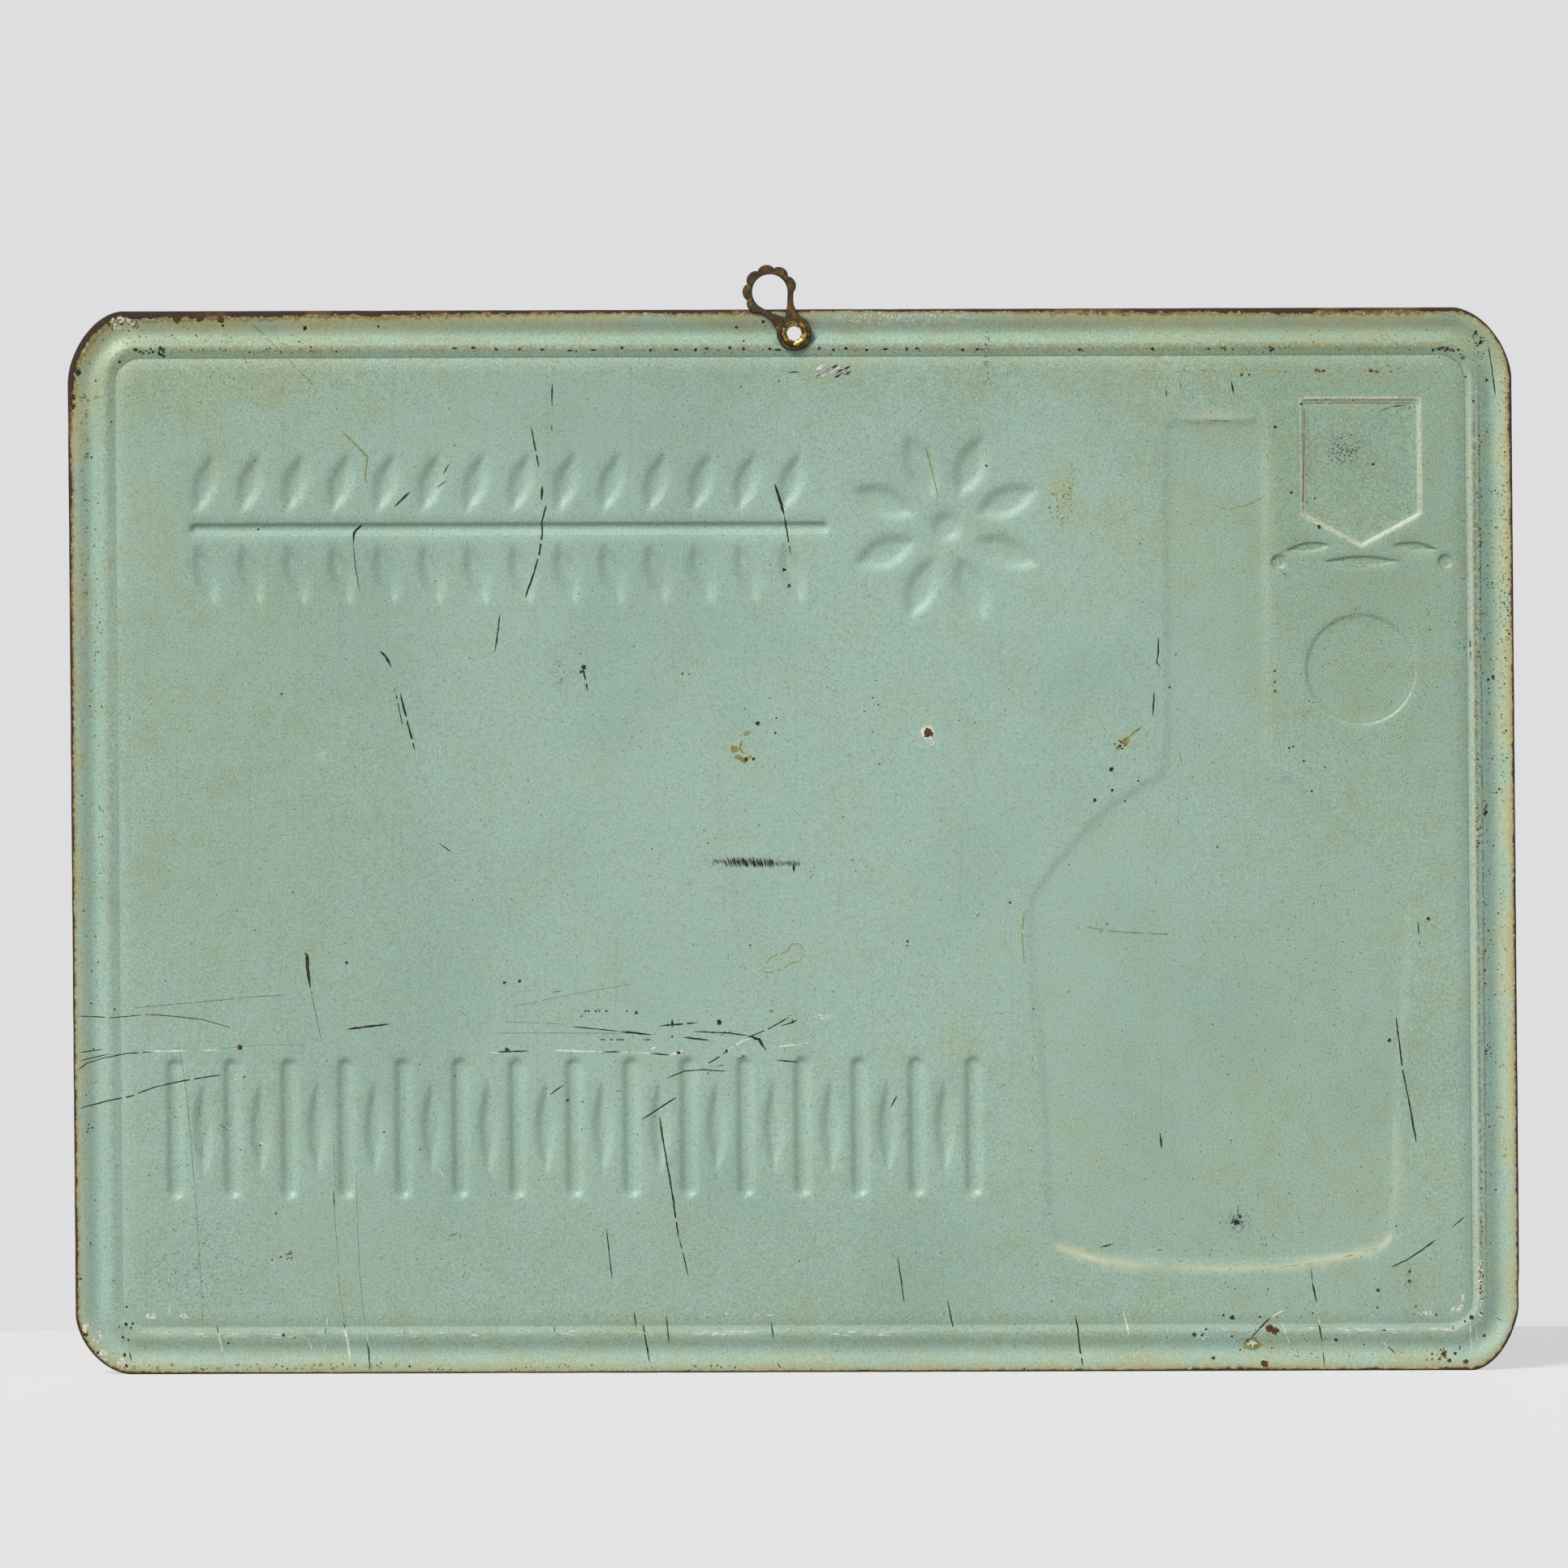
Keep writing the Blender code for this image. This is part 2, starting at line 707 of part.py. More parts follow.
def finish(name, colour, roughness, metallic):
    material = bpy.data.materials.new(name)
    material.use_nodes = True
    shader = material.node_tree.nodes["Principled BSDF"]
    shader.inputs["Base Color"].default_value = (*colour, 1)
    shader.inputs["Roughness"].default_value = roughness
    shader.inputs["Metallic"].default_value = metallic
    return material


def placed(name, data, collection, carrier, location):
    made = bpy.data.objects.new(name, data)
    made.location = location
    made.parent = carrier
    collection.objects.link(made)
    return made


def main():
    for old in list(bpy.data.objects):
        bpy.data.objects.remove(old)
    collection = bpy.data.collections.new("tin_wall_sign")
    bpy.context.scene.collection.children.link(collection)
    centre = laid(EYELET_CENTRE, 0)
    up_hanger = Vector((-math.sin(HANGER_TURN), 0, math.cos(HANGER_TURN)))
    nail = centre + up_hanger * (LOOP_DISTANCE + LOOP_OPENING_RADIUS)
    nail.y -= RUNNING_GAP + HANGER_THICKNESS / 2
    carrier = placed("sheet_centre", None, collection, None, -nail)
    make_sheet(collection, carrier)
    make_eyelet(collection, carrier, centre)
    make_hanger(collection, carrier, centre)


main()
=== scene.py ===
# %% [markdown]
# # A pressed tin wall sign, seen from its painted back
#
# The real sign is one sheet of tinplate, 0.3 mm thick. A press gave it its border and its
# ornament in one stroke, so from behind every raised form of the face is a shallow hollow.
# A brass eyelet is clinched through its top edge, and it carries a small stamped hanger.
#
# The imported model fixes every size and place. This script only gives the three pieces
# their fine surface, their paint and their wear, and then sets a plain studio round them.

# %% Load the fixed frame
import json
import math
import random

import bpy
import numpy as np
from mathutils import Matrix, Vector, noise
from mathutils.geometry import delaunay_2d_cdt


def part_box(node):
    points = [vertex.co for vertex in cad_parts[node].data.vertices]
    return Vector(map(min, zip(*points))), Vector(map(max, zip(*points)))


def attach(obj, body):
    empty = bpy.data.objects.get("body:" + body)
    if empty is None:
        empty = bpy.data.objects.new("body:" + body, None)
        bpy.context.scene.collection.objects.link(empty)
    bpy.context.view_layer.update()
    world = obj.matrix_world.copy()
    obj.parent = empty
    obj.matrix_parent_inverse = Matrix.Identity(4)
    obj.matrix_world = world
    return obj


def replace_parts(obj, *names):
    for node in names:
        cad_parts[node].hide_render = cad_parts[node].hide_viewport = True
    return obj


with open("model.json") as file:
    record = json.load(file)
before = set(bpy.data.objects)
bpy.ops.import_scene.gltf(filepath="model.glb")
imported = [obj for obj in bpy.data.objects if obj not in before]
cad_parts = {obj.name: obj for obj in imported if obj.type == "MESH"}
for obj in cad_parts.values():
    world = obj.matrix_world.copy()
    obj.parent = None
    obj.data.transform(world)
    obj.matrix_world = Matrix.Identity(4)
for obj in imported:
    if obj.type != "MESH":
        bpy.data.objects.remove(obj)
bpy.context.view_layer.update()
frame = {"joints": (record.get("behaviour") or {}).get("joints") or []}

# %% [markdown]
# ## Places that everything is measured from
#
# The sheet's box gives its middle and its back face, and the joint gives the eyelet's axis.
# A place on the sheet is written as (across, up) from the sheet's middle, and a height
# is counted from the flat of the panel towards the back, so a hollow is below zero.

# %% The sheet's middle, its lean and the eyelet's axis
sheet_low, sheet_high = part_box("tin_sheet")
MIDDLE = (sheet_low + sheet_high) / 2
BACK_FACE = sheet_low.y
THICKNESS = 0.0003
WIDTH = 0.400
HEIGHT = sheet_high.z - sheet_low.z
OUT_OF_SQUARE = 0.00165  # how far the top edge stands to the left of the bottom edge
LEAN = OUT_OF_SQUARE / HEIGHT
EYELET_AXIS = Vector(frame["joints"][0]["pos_m"])


def laid(places, heights):
    """Places on the sheet and their heights, as points in the frame."""
    across, up = places[:, 0], places[:, 1]
    return np.column_stack(
        (MIDDLE.x + across - LEAN * up, BACK_FACE - heights, MIDDLE.z + up)
    )


eyelet_up = EYELET_AXIS.z - MIDDLE.z
EYELET = np.array((EYELET_AXIS.x - MIDDLE.x + LEAN * eyelet_up, eyelet_up))
print("sheet", round(1000 * WIDTH, 1), "x", round(1000 * HEIGHT, 1), "mm")
print("eyelet on the sheet, mm:", np.round(1000 * EYELET, 2))

# %% [markdown]
# ## The camera
#
# The photograph was taken square on, with a long lens, a little above the table. It shows
# 4.4475 pixels for each millimetre of the sheet, with the sheet's middle at (977.5, 1036)
# in its 1932 pixel frame, and it is rolled by a fifth of a degree. The camera
# is worked out from those four numbers.

# %% Set the camera from the photograph's scale
PHOTO_SIDE = 1932
PHOTO_PIXELS_PER_METRE = 4447.5
PHOTO_MIDDLE = (977.5, 1036.0)
PHOTO_ROLL = 0.0031
CAMERA_DISTANCE = 2.0


def placed(name, data):
    """An object that holds this data, linked into the scene."""
    made = bpy.data.objects.new(name, data)
    bpy.context.scene.collection.objects.link(made)
    return made


def built(name, mesh_name, points, faces, flat=0):
    """An object of these points and faces, shaded smooth apart from its last flat ones."""
    mesh = bpy.data.meshes.new(mesh_name)
    mesh.from_pydata(points, [], faces)
    smooth = [True] * (len(faces) - flat) + [False] * flat
    mesh.polygons.foreach_set("use_smooth", smooth)
    return placed(name, mesh), mesh


camera = placed("camera", bpy.data.cameras.new("camera"))
bpy.context.scene.camera = camera
field = PHOTO_SIDE / PHOTO_PIXELS_PER_METRE
camera.data.lens = camera.data.sensor_width * CAMERA_DISTANCE / field
camera.data.clip_end = 20
camera.location = (
    MIDDLE.x + (PHOTO_SIDE / 2 - PHOTO_MIDDLE[0]) / PHOTO_PIXELS_PER_METRE,
    BACK_FACE - CAMERA_DISTANCE,
    MIDDLE.z - (PHOTO_SIDE / 2 - PHOTO_MIDDLE[1]) / PHOTO_PIXELS_PER_METRE,
)
camera.rotation_euler = (math.pi / 2, PHOTO_ROLL, 0)
print("lens, mm:", round(camera.data.lens, 1))


def from_photo(x, y):
    """A pixel of the photograph as a place on the sheet."""
    right = (x - PHOTO_MIDDLE[0]) / PHOTO_PIXELS_PER_METRE
    up = (PHOTO_MIDDLE[1] - y) / PHOTO_PIXELS_PER_METRE
    return np.array((right + (LEAN + PHOTO_ROLL) * up, up - PHOTO_ROLL * right))


# %% [markdown]
# ## One way to write materials
#
# Colours are written as the sRGB hex values that a colour picker shows, and one function
# turns them into the linear values that the shader works in. One more adds any node,
# sets what is given by its name, and links what is given as a socket. The others are
# short names for the nodes that the finishes use again and again.

# %% Helpers for colours and nodes
def colour(code):
    """A hex code as linear red, green and blue, with a full alpha."""
    parts = [int(code[i : i + 2], 16) / 255 for i in (1, 3, 5)]
    linear = [p / 12.92 if p <= 0.04045 else ((p + 0.055) / 1.055) ** 2.4 for p in parts]
    return (*linear, 1.0)


def fill(tree, node, inputs):
    """Fills a node's inputs. A socket among them is linked, anything else is a value."""
    for name, value in inputs.items():
        if isinstance(value, bpy.types.NodeSocket):
            tree.links.new(value, node.inputs[name])
        else:
            node.inputs[name].default_value = value


def add(tree, kind, inputs=None, **settings):
    """Adds one node with its settings and its inputs."""
    made = tree.nodes.new("ShaderNode" + kind)
    for name, value in settings.items():
        setattr(made, name, value)
    fill(tree, made, inputs or {})
    return made


def material(name):
    """A new material with its tree and its Principled shader."""
    made = bpy.data.materials.new(name)
    made.use_nodes = True
    return made, made.node_tree, made.node_tree.nodes["Principled BSDF"]


def mix(tree, share, first, second):
    """The colour between two colours."""
    return add(tree, "Mix", {0: share, 6: first, 7: second}, data_type="RGBA").outputs[2]


def ramp(tree, value, low, high):
    """0 where the value is at or below low, 1 at or above high, smooth between."""
    span = {"Value": value, "From Min": low, "From Max": high}
    return add(tree, "MapRange", span, interpolation_type="SMOOTHSTEP").outputs[0]


def sums(tree, operation, first, second):
    """One step of arithmetic between two values or sockets."""
    return add(tree, "Math", {0: first, 1: second}, operation=operation).outputs[0]


def times(tree, first, *others):
    """All of them multiplied."""
    for other in others:
        first = sums(tree, "MULTIPLY", first, other)
    return first


def plus(tree, first, *others):
    """All of them added up."""
    for other in others:
        first = sums(tree, "ADD", first, other)
    return first


def relief(tree, height, strength, depth, **under):
    """A bump this deep in metres, over the normal of another one if it is given."""
    inputs = {"Height": height, "Strength": strength, "Distance": depth, **under}
    return add(tree, "Bump", inputs).outputs[0]


def texture(tree, size, detail, stretch=(1, 1, 1)):
    """Noise whose blobs are about this many millimetres across, on the object's own place."""
    place = add(tree, "TexCoord").outputs["Object"]
    wide = add(tree, "Mapping", {"Vector": place, "Scale": stretch}).outputs[0]
    settings = {"Vector": wide, "Scale": 1000 / size, "Detail": detail}
    return add(tree, "TexNoise", settings).outputs["Fac"]


print("panel green, linear:", [round(x, 3) for x in colour("#96AD9D")])

# %% [markdown]
# ## The border
#
# Round the panel runs a pressed border. Counted from the cut edge there is a narrow flat
# rim, a round trough, a flat ridge at the level of the panel, a sharp groove and a slope
# up to the panel. The corners aren't true arcs: they are cut a little straighter, which a
# superellipse with a power of 1.75 gives, and they turn into arcs of 7 mm at the groove.

# %% The border's lines and heights
RIM, RIDGE, RIDGE_END, GROOVE, PANEL = 0.0008, 0.0104, 0.0110, 0.0130, 0.0172
TROUGH_DEPTH, GROOVE_DEPTH = 0.0015, 0.00075
TROUGH_SKEW, SKEW_AT_RIGHT = 1.25, 0.9  # above 1 the trough's inner side is the steeper one
PRESSED_AT_BOTTOM = 0.6  # the share of both depths that the bottom side has
CORNER_POWER, INNER_CORNER = 1.75, 0.0070
HALVINGS = 22
CORNER_BLEND = 0.004  # over this length one side's values turn into the next side's
# Each corner's length along the horizontal and the upright edge.
TOP_LEFT, TOP_RIGHT = (0.0151, 0.0198), (0.0162, 0.0196)
BOTTOM_LEFT, BOTTOM_RIGHT = (0.0151, 0.0166), (0.0130, 0.0198)


def corner_sizes(across, up, distance):
    """Each place's corner: its two lengths and its power, this far in from the edge."""
    top, right = (up > 0)[:, None], (across >= 0)[:, None]
    upper = np.where(right, TOP_RIGHT, TOP_LEFT)
    lower = np.where(right, BOTTOM_RIGHT, BOTTOM_LEFT)
    size = np.where(top, upper, lower)
    share = np.minimum(distance / GROOVE, 1)
    size = size + (INNER_CORNER - size) * share[:, None]
    return size[:, 0], size[:, 1], CORNER_POWER + (2 - CORNER_POWER) * share


def border_loop(distance, step, corner_steps):
    """The line round the sheet at this distance in from its edge."""
    points = []
    for quarter in range(4):
        side = np.array((-1 if quarter in (1, 2) else 1, 1 if quarter < 2 else -1))
        run, rise, power = (
            value[0] for value in corner_sizes(side[:1], side[1:], np.array([distance]))
        )
        for i in range(corner_steps + 1):
            angle = math.pi / 2 * (quarter + i / corner_steps)
            bend = np.abs((math.cos(angle), math.sin(angle))) ** (2 / power)
            far = np.array((WIDTH, HEIGHT)) / 2 - distance - np.array((run, rise)) * (1 - bend)
            points.append(side * far)
    return filled(points, step)


def filled(points, step):
    """A closed line with points added where two are more than a step apart."""
    found = []
    for a, b in zip(points, points[1:] + points[:1]):
        count = max(1, round(float(np.linalg.norm(b - a)) / step))
        found += [a + (b - a) * i / count for i in range(count)]
    return found


def edge_distance(places):
    """How far in from the edge each place lies, up to the panel, found by halving."""
    low, high = np.zeros(len(places)), np.full(len(places), PANEL)
    across, up = np.abs(places).T
    for _ in range(HALVINGS):
        middle = (low + high) / 2
        run, rise, power = corner_sizes(places[:, 0], places[:, 1], middle)
        past_across = across - (WIDTH / 2 - middle - run)
        past_up = up - (HEIGHT / 2 - middle - rise)
        bent = np.clip(past_across / run, 0, 2) ** power + np.clip(past_up / rise, 0, 2) ** power
        inside = np.where(
            (past_across <= 0) | (past_up <= 0),
            (past_across <= run) & (past_up <= rise),
            bent <= 1,
        )
        low, high = np.where(inside, middle, low), np.where(inside, high, middle)
    return low


def by_side(places, top, bottom, left, right):
    """A value given along each side, at the side that each place is nearest to."""
    x = PHOTO_MIDDLE[0] + places[:, 0] * PHOTO_PIXELS_PER_METRE
    y = PHOTO_MIDDLE[1] - places[:, 1] * PHOTO_PIXELS_PER_METRE
    sides = (
        (HEIGHT / 2 - places[:, 1], top, x),
        (HEIGHT / 2 + places[:, 1], bottom, x),
        (WIDTH / 2 + places[:, 0], left, y),
        (WIDTH / 2 - places[:, 0], right, y),
    )
    weights = [np.exp(-gap / CORNER_BLEND) + 1e-30 for gap, _, _ in sides]
    widths = [np.interp(at, *zip(*spans)) for _, spans, at in sides]
    return sum(w * v for w, v in zip(weights, widths)) / sum(weights)


# The press didn't bear evenly. These go along each side by a pixel in the photograph:
# the trough's skew, and the groove's depth as a share of its full depth.
SKEWS = (((0, TROUGH_SKEW),),) * 3 + (((0, SKEW_AT_RIGHT),),)
FULL = ((0, 1.0),)
GROOVE_AT_LEFT = ((500, 1.0), (640, 0.8), (800, 0.3), (900, 0.4), (1050, 0.75), (1400, 0.6))
GROOVE_SHARES = (FULL, FULL, GROOVE_AT_LEFT, FULL)


def border_height(distance, skew=TROUGH_SKEW, groove=1.0):
    """The border's full height this far in from the edge."""
    trough = np.clip((distance - RIM) / (RIDGE - RIM), 0, 1) ** skew
    height = -TROUGH_DEPTH * (0.5 - 0.5 * np.cos(2 * math.pi * trough))
    fall = np.clip((distance - RIDGE_END) / (GROOVE - RIDGE_END), 0, 1)
    rise = np.clip((distance - GROOVE) / (PANEL - GROOVE), 0, 1)
    return height - GROOVE_DEPTH * groove * (fall - (1 - (1 - rise) ** 2))


def pressed_share(places):
    """How much of the border's full depth it has here: less near the bottom side."""
    to_bottom = HEIGHT / 2 + places[:, 1]
    to_others = np.minimum(WIDTH / 2 - np.abs(places[:, 0]), HEIGHT / 2 - places[:, 1])
    nearness = to_others**2 / (to_others**2 + to_bottom**2)
    return 1 - (1 - PRESSED_AT_BOTTOM) * nearness


print("border heights, mm:", np.round(1000 * border_height(np.arange(0, 18, 2) / 1000), 2))

# %% [markdown]
# ## What is pressed into the panel
#
# Four kinds of outline make all the ornament: a disc, a flute (a straight groove with
# round ends), a leaf where two circles overlap, and a free outline. Each can say how deep
# inside it a place is, which gives the height of its wall, and each can draw itself set
# in by a share of its wall, which gives the mesh its edges where the surface bends.

# %% Four kinds of outline
MOST_WALL = 0.8  # a wall's largest share of a pressing's half width
LINE_STEP, LEAF_STEP = 0.0015, 0.0014  # the lengths between two points of a line
ROUND_STEP = 0.0004  # a disc has one point for each of these in its radius


def turned(radius, angle):
    return np.array((radius * math.cos(angle), radius * math.sin(angle)))


def circle(centre, radius, steps):
    return [centre + turned(radius, 2 * math.pi * i / steps) for i in range(steps)]


def segment_gap(places, a, b):
    """Each place's distance from the line between two points."""
    along = b - a
    share = np.clip((places - a) @ along / (along @ along), 0, 1)
    return np.linalg.norm(places - a - share[:, None] * along, axis=1)


class Disc:
    def __init__(self, centre, radius, depth, wall):
        self.centre, self.radius = np.array(centre), radius
        self.depth, self.wall = depth, min(wall, MOST_WALL * radius)

    def inside(self, places):
        return self.radius - np.linalg.norm(places - self.centre, axis=1)

    def loop(self, inset):
        return circle(self.centre, self.radius - inset, max(16, round(self.radius / ROUND_STEP)))


class Flute:
    def __init__(self, start, end, radius, depth, wall):
        self.start, self.end, self.radius = np.array(start), np.array(end), radius
        self.depth, self.wall = depth, min(wall, MOST_WALL * radius)

    def inside(self, places):
        return self.radius - segment_gap(places, self.start, self.end)

    def loop(self, inset):
        along = self.end - self.start
        heading = math.atan2(along[1], along[0])
        points = []
        for centre, first in ((self.start, 0.5), (self.end, -0.5)):
            for i in range(9):
                angle = heading + math.pi * (first + i / 8)
                points.append(centre + turned(self.radius - inset, angle))
        return filled(points, LINE_STEP)


class Leaf:
    def __init__(self, base, tip, width, depth, wall):
        base, tip = self.ends = np.array(base), np.array(tip)
        length = float(np.linalg.norm(tip - base))
        self.radius = (length**2 + width**2) / (4 * width)
        self.offset = self.radius - width / 2
        along = (tip - base) / length
        self.across = np.array((-along[1], along[0]))
        self.middle = (base + tip) / 2
        self.depth, self.wall = depth, min(wall, MOST_WALL * width / 2)

    def inside(self, places):
        gaps = [
            np.linalg.norm(places - self.middle - side * self.offset * self.across, axis=1)
            for side in (-1, 1)
        ]
        return self.radius - np.maximum(*gaps)

    def loop(self, inset):
        radius = self.radius - inset
        half_angle = math.acos(self.offset / radius)
        steps = max(6, round(2 * half_angle * radius / LEAF_STEP))
        points = []
        for side in (-1, 1):
            heading = math.atan2(-side * self.across[1], -side * self.across[0])
            centre = self.middle + self.across * side * self.offset
            for i in range(steps):
                points.append(centre + turned(radius, heading + half_angle * (2 * i / steps - 1)))
        return points


class Outline:
    def __init__(self, points, depth, wall):
        self.points = [np.array(point) for point in points]
        self.depth, self.wall = depth, wall

    def edges(self):
        return list(zip(self.points, self.points[1:] + self.points[:1]))

    def inside(self, places):
        nearest = np.min([segment_gap(places, a, b) for a, b in self.edges()], axis=0)
        within = np.zeros(len(places), bool)
        for a, b in self.edges():
            spans = (a[1] > places[:, 1]) != (b[1] > places[:, 1])
            if a[1] != b[1]:
                meets = a[0] + (places[:, 1] - a[1]) * (b[0] - a[0]) / (b[1] - a[1])
                within ^= spans & (places[:, 0] < meets)
        return np.where(within, nearest, -nearest)

    def loop(self, inset):
        lines = []
        for a, b in self.edges():
            along = (b - a) / np.linalg.norm(b - a)
            lines.append((a + np.array((-along[1], along[0])) * inset, along))
        points = []
        for (start, along), (other, heading) in zip(lines[-1:] + lines, lines):
            turn = along[0] * heading[1] - along[1] * heading[0]
            gap = other - start
            reach = (gap[0] * heading[1] - gap[1] * heading[0]) / turn if abs(turn) > 1e-6 else 0
            points.append(start + along * reach if abs(turn) > 1e-6 else other)
        return filled(points, LINE_STEP)


def smooth_run(points, steps):
    """A curve through points, from the second one to the last but one."""
    found = []
    for i in range(1, len(points) - 2):
        before, a, b, after = (np.array(point) for point in points[i - 1 : i + 3])
        for t in np.arange(steps) / steps:
            found.append(
                a
                + (b - before) * (t / 2)
                + (2 * before - 5 * a + 4 * b - after) * (t**2 / 2)
                + (3 * a - before - 3 * b + after) * (t**3 / 2)
            )
    return found


print("a quarter circle of 10 mm has", len(Disc((0, 0), 0.010, 0, 0.001).loop(0)) // 4, "steps")

# %% [markdown]
# ## The emblem column and the flask
#
# At the right stand a plain shield, a scroll and a disc, and beside them a large flask
# that is pressed so shallow that only its shoulders and its foot catch the light.

# %% The shield, the scroll, the disc and the flask
EMBLEM = WIDTH / 2 - 0.0419
SHIELD_TOP, SHIELD_WIDTH, SHIELD_SIDE, SHIELD_POINT = 0.0251, 0.0331, 0.0324, 0.0089
SCROLL_DOWN, SCROLL_WIDTH, CURL = 0.0704, 0.0462, 0.0023
ARM_OUT, ARM_UP, ARM_LENGTH, ARM_RISE, ARM_WIDTH = 0.0016, 0.0032, 0.0136, 0.0014, 0.0035
DISH_REACH, DISH_WIDTH = 0.01155, 0.0037
DISC_PLACE, DISC_RADIUS = (WIDTH / 2 - 0.0424, HEIGHT / 2 - 0.1003), 0.0158
# How deep each is pressed, and how wide its wall is.
SHIELD_PRESS, SCROLL_PRESS = (0.00065, 0.0010), (0.0006, 0.0010)
DISC_PRESS, FLASK_PRESS = (0.0004, 0.0011), (0.0004, 0.0030)
FLASK = WIDTH / 2 - 0.0823
FLASK_TOP, FLASK_FOOT = HEIGHT / 2 - 0.0300, -HEIGHT / 2 + 0.0281
NECK_WIDTH, MOUTH_WIDTH, MOUTH_HEIGHT = 0.0300, 0.0240, 0.0030
# Heights above the foot and full widths, from the foot's corner up to the neck's root.
FLASK_SIDE = (
    *((0.0022, 0.0640), (0.0066, 0.0945), (0.0500, 0.1010), (0.0930, 0.1080)),
    *((0.1080, 0.1005), (0.1280, 0.0650), (0.1360, 0.0420), (0.1480, 0.0305)),
)


def shield():
    top = HEIGHT / 2 - SHIELD_TOP
    foot = top - SHIELD_SIDE
    left, right = EMBLEM - SHIELD_WIDTH / 2, EMBLEM + SHIELD_WIDTH / 2
    points = [(left, top), (left, foot), (EMBLEM, foot - SHIELD_POINT), (right, foot), (right, top)]
    return [Outline(points, *SHIELD_PRESS)]


def scroll():
    """A curl at each end, an arm that rises from it, and a dish between the arms."""
    up = HEIGHT / 2 - SCROLL_DOWN
    pieces = []
    for side in (-1, 1):
        curl = EMBLEM + side * SCROLL_WIDTH / 2
        pieces.append(Disc((curl, up), CURL, *SCROLL_PRESS))
        root = np.array((curl - side * ARM_OUT, up + ARM_UP))
        tip = root + (-side * ARM_LENGTH, ARM_RISE)
        pieces.append(Leaf(root, tip, ARM_WIDTH, *SCROLL_PRESS))
    ends = (EMBLEM - DISH_REACH, up), (EMBLEM + DISH_REACH, up)
    pieces.append(Leaf(*ends, DISH_WIDTH, *SCROLL_PRESS))
    return pieces


def disc():
    return [Disc(DISC_PLACE, DISC_RADIUS, *DISC_PRESS)]


def flask():
    side = [(width / 2, FLASK_FOOT + height) for height, width in FLASK_SIDE]
    neck = [(NECK_WIDTH / 2, FLASK_TOP - MOUTH_HEIGHT), (MOUTH_WIDTH / 2, FLASK_TOP)]
    right = smooth_run([side[0]] + side + neck[:1], 4) + [side[-1]] + neck
    right = [np.array(point) for point in right]
    left = [point * (-1, 1) for point in reversed(right)]
    points = [np.array((0, FLASK_FOOT))] + right + left
    return [Outline([point + (FLASK, 0) for point in points], *FLASK_PRESS)]


print("emblem column at", round(1000 * EMBLEM, 1), "mm, flask at", round(1000 * FLASK, 1), "mm")

# %% [markdown]
# ## The two bands
#
# The upper band is a laurel that runs to a rosette, and the lower one is a row of tall
# flutes with short leaves between them. Both are loops over one pitch, so
# a longer sign would simply hold more of them.

# %% The laurel, the rosette and the flutes
BAND_DEPTH, BAND_WALL, BAND_CLEARANCE = 0.0010, 0.0036, 0.0035
LAUREL_UP, LAUREL_START = HEIGHT / 2 - 0.0604, -WIDTH / 2 + 0.0350
LEAF_PITCH, LEAF_LENGTH, LEAF_WIDTH, LEAF_LEAN = 0.0125, 0.0190, 0.0084, math.radians(73)
LEAF_OFF_STEM, STEM_WIDTH = 0.0036, 0.0040
ROSETTE, ROSETTE_RADIUS = np.array((WIDTH / 2 - 0.1570, LAUREL_UP)), 0.0285
PETALS, PETAL_WIDTH, PETAL_START, ROSETTE_EYE = 8, 0.0105, 0.0080, 0.0052
FLUTE_UP, FLUTE_START = -HEIGHT / 2 + 0.0680, -WIDTH / 2 + 0.0280
FLUTE_PITCH, FLUTE_HEIGHT, FLUTE_WIDTH = 0.0158, 0.0400, 0.0060
LENS_HEIGHT, LENS_WIDTH = 0.0280, 0.0070


def rosette():
    pieces = [Disc(ROSETTE, ROSETTE_EYE, BAND_DEPTH, BAND_WALL)]
    for i in range(PETALS):
        angle = 2 * math.pi * (i + 0.5) / PETALS
        base, tip = ROSETTE + turned(PETAL_START, angle), ROSETTE + turned(ROSETTE_RADIUS, angle)
        pieces.append(Leaf(base, tip, PETAL_WIDTH, BAND_DEPTH, BAND_WALL))
    return pieces


def laurel():
    end = ROSETTE[0] - ROSETTE_RADIUS - BAND_CLEARANCE
    pairs = int((end - LAUREL_START - LEAF_LENGTH * math.cos(LEAF_LEAN)) / LEAF_PITCH) + 1
    radius = STEM_WIDTH / 2
    stem = (LAUREL_START, LAUREL_UP), (end - radius, LAUREL_UP)
    pieces = [Flute(*stem, radius, BAND_DEPTH, BAND_WALL)]
    for i in range(pairs):
        for side in (-1, 1):
            base = np.array((LAUREL_START + i * LEAF_PITCH, LAUREL_UP + side * LEAF_OFF_STEM))
            tip = base + turned(LEAF_LENGTH, side * LEAF_LEAN)
            pieces.append(Leaf(base, tip, LEAF_WIDTH, BAND_DEPTH, BAND_WALL))
    return pieces


def flutes():
    end = FLASK - max(width for _, width in FLASK_SIDE) / 2 - BAND_CLEARANCE
    straight = (FLUTE_HEIGHT - FLUTE_WIDTH) / 2
    pieces = []
    for i in range(int((end - FLUTE_START) / FLUTE_PITCH) + 1):
        across = FLUTE_START + i * FLUTE_PITCH
        low, high = (across, FLUTE_UP - straight), (across, FLUTE_UP + straight)
        pieces.append(Flute(low, high, FLUTE_WIDTH / 2, BAND_DEPTH, BAND_WALL))
        if i:
            between = across - FLUTE_PITCH / 2
            low, high = (between, FLUTE_UP - LENS_HEIGHT / 2), (between, FLUTE_UP + LENS_HEIGHT / 2)
            pieces.append(Leaf(low, high, LENS_WIDTH, BAND_DEPTH, BAND_WALL))
    return pieces


bands = rosette() + laurel() + flutes()
emblems = shield() + scroll() + disc()
pressed = bands + emblems + flask()
print("pressed pieces:", len(pressed))

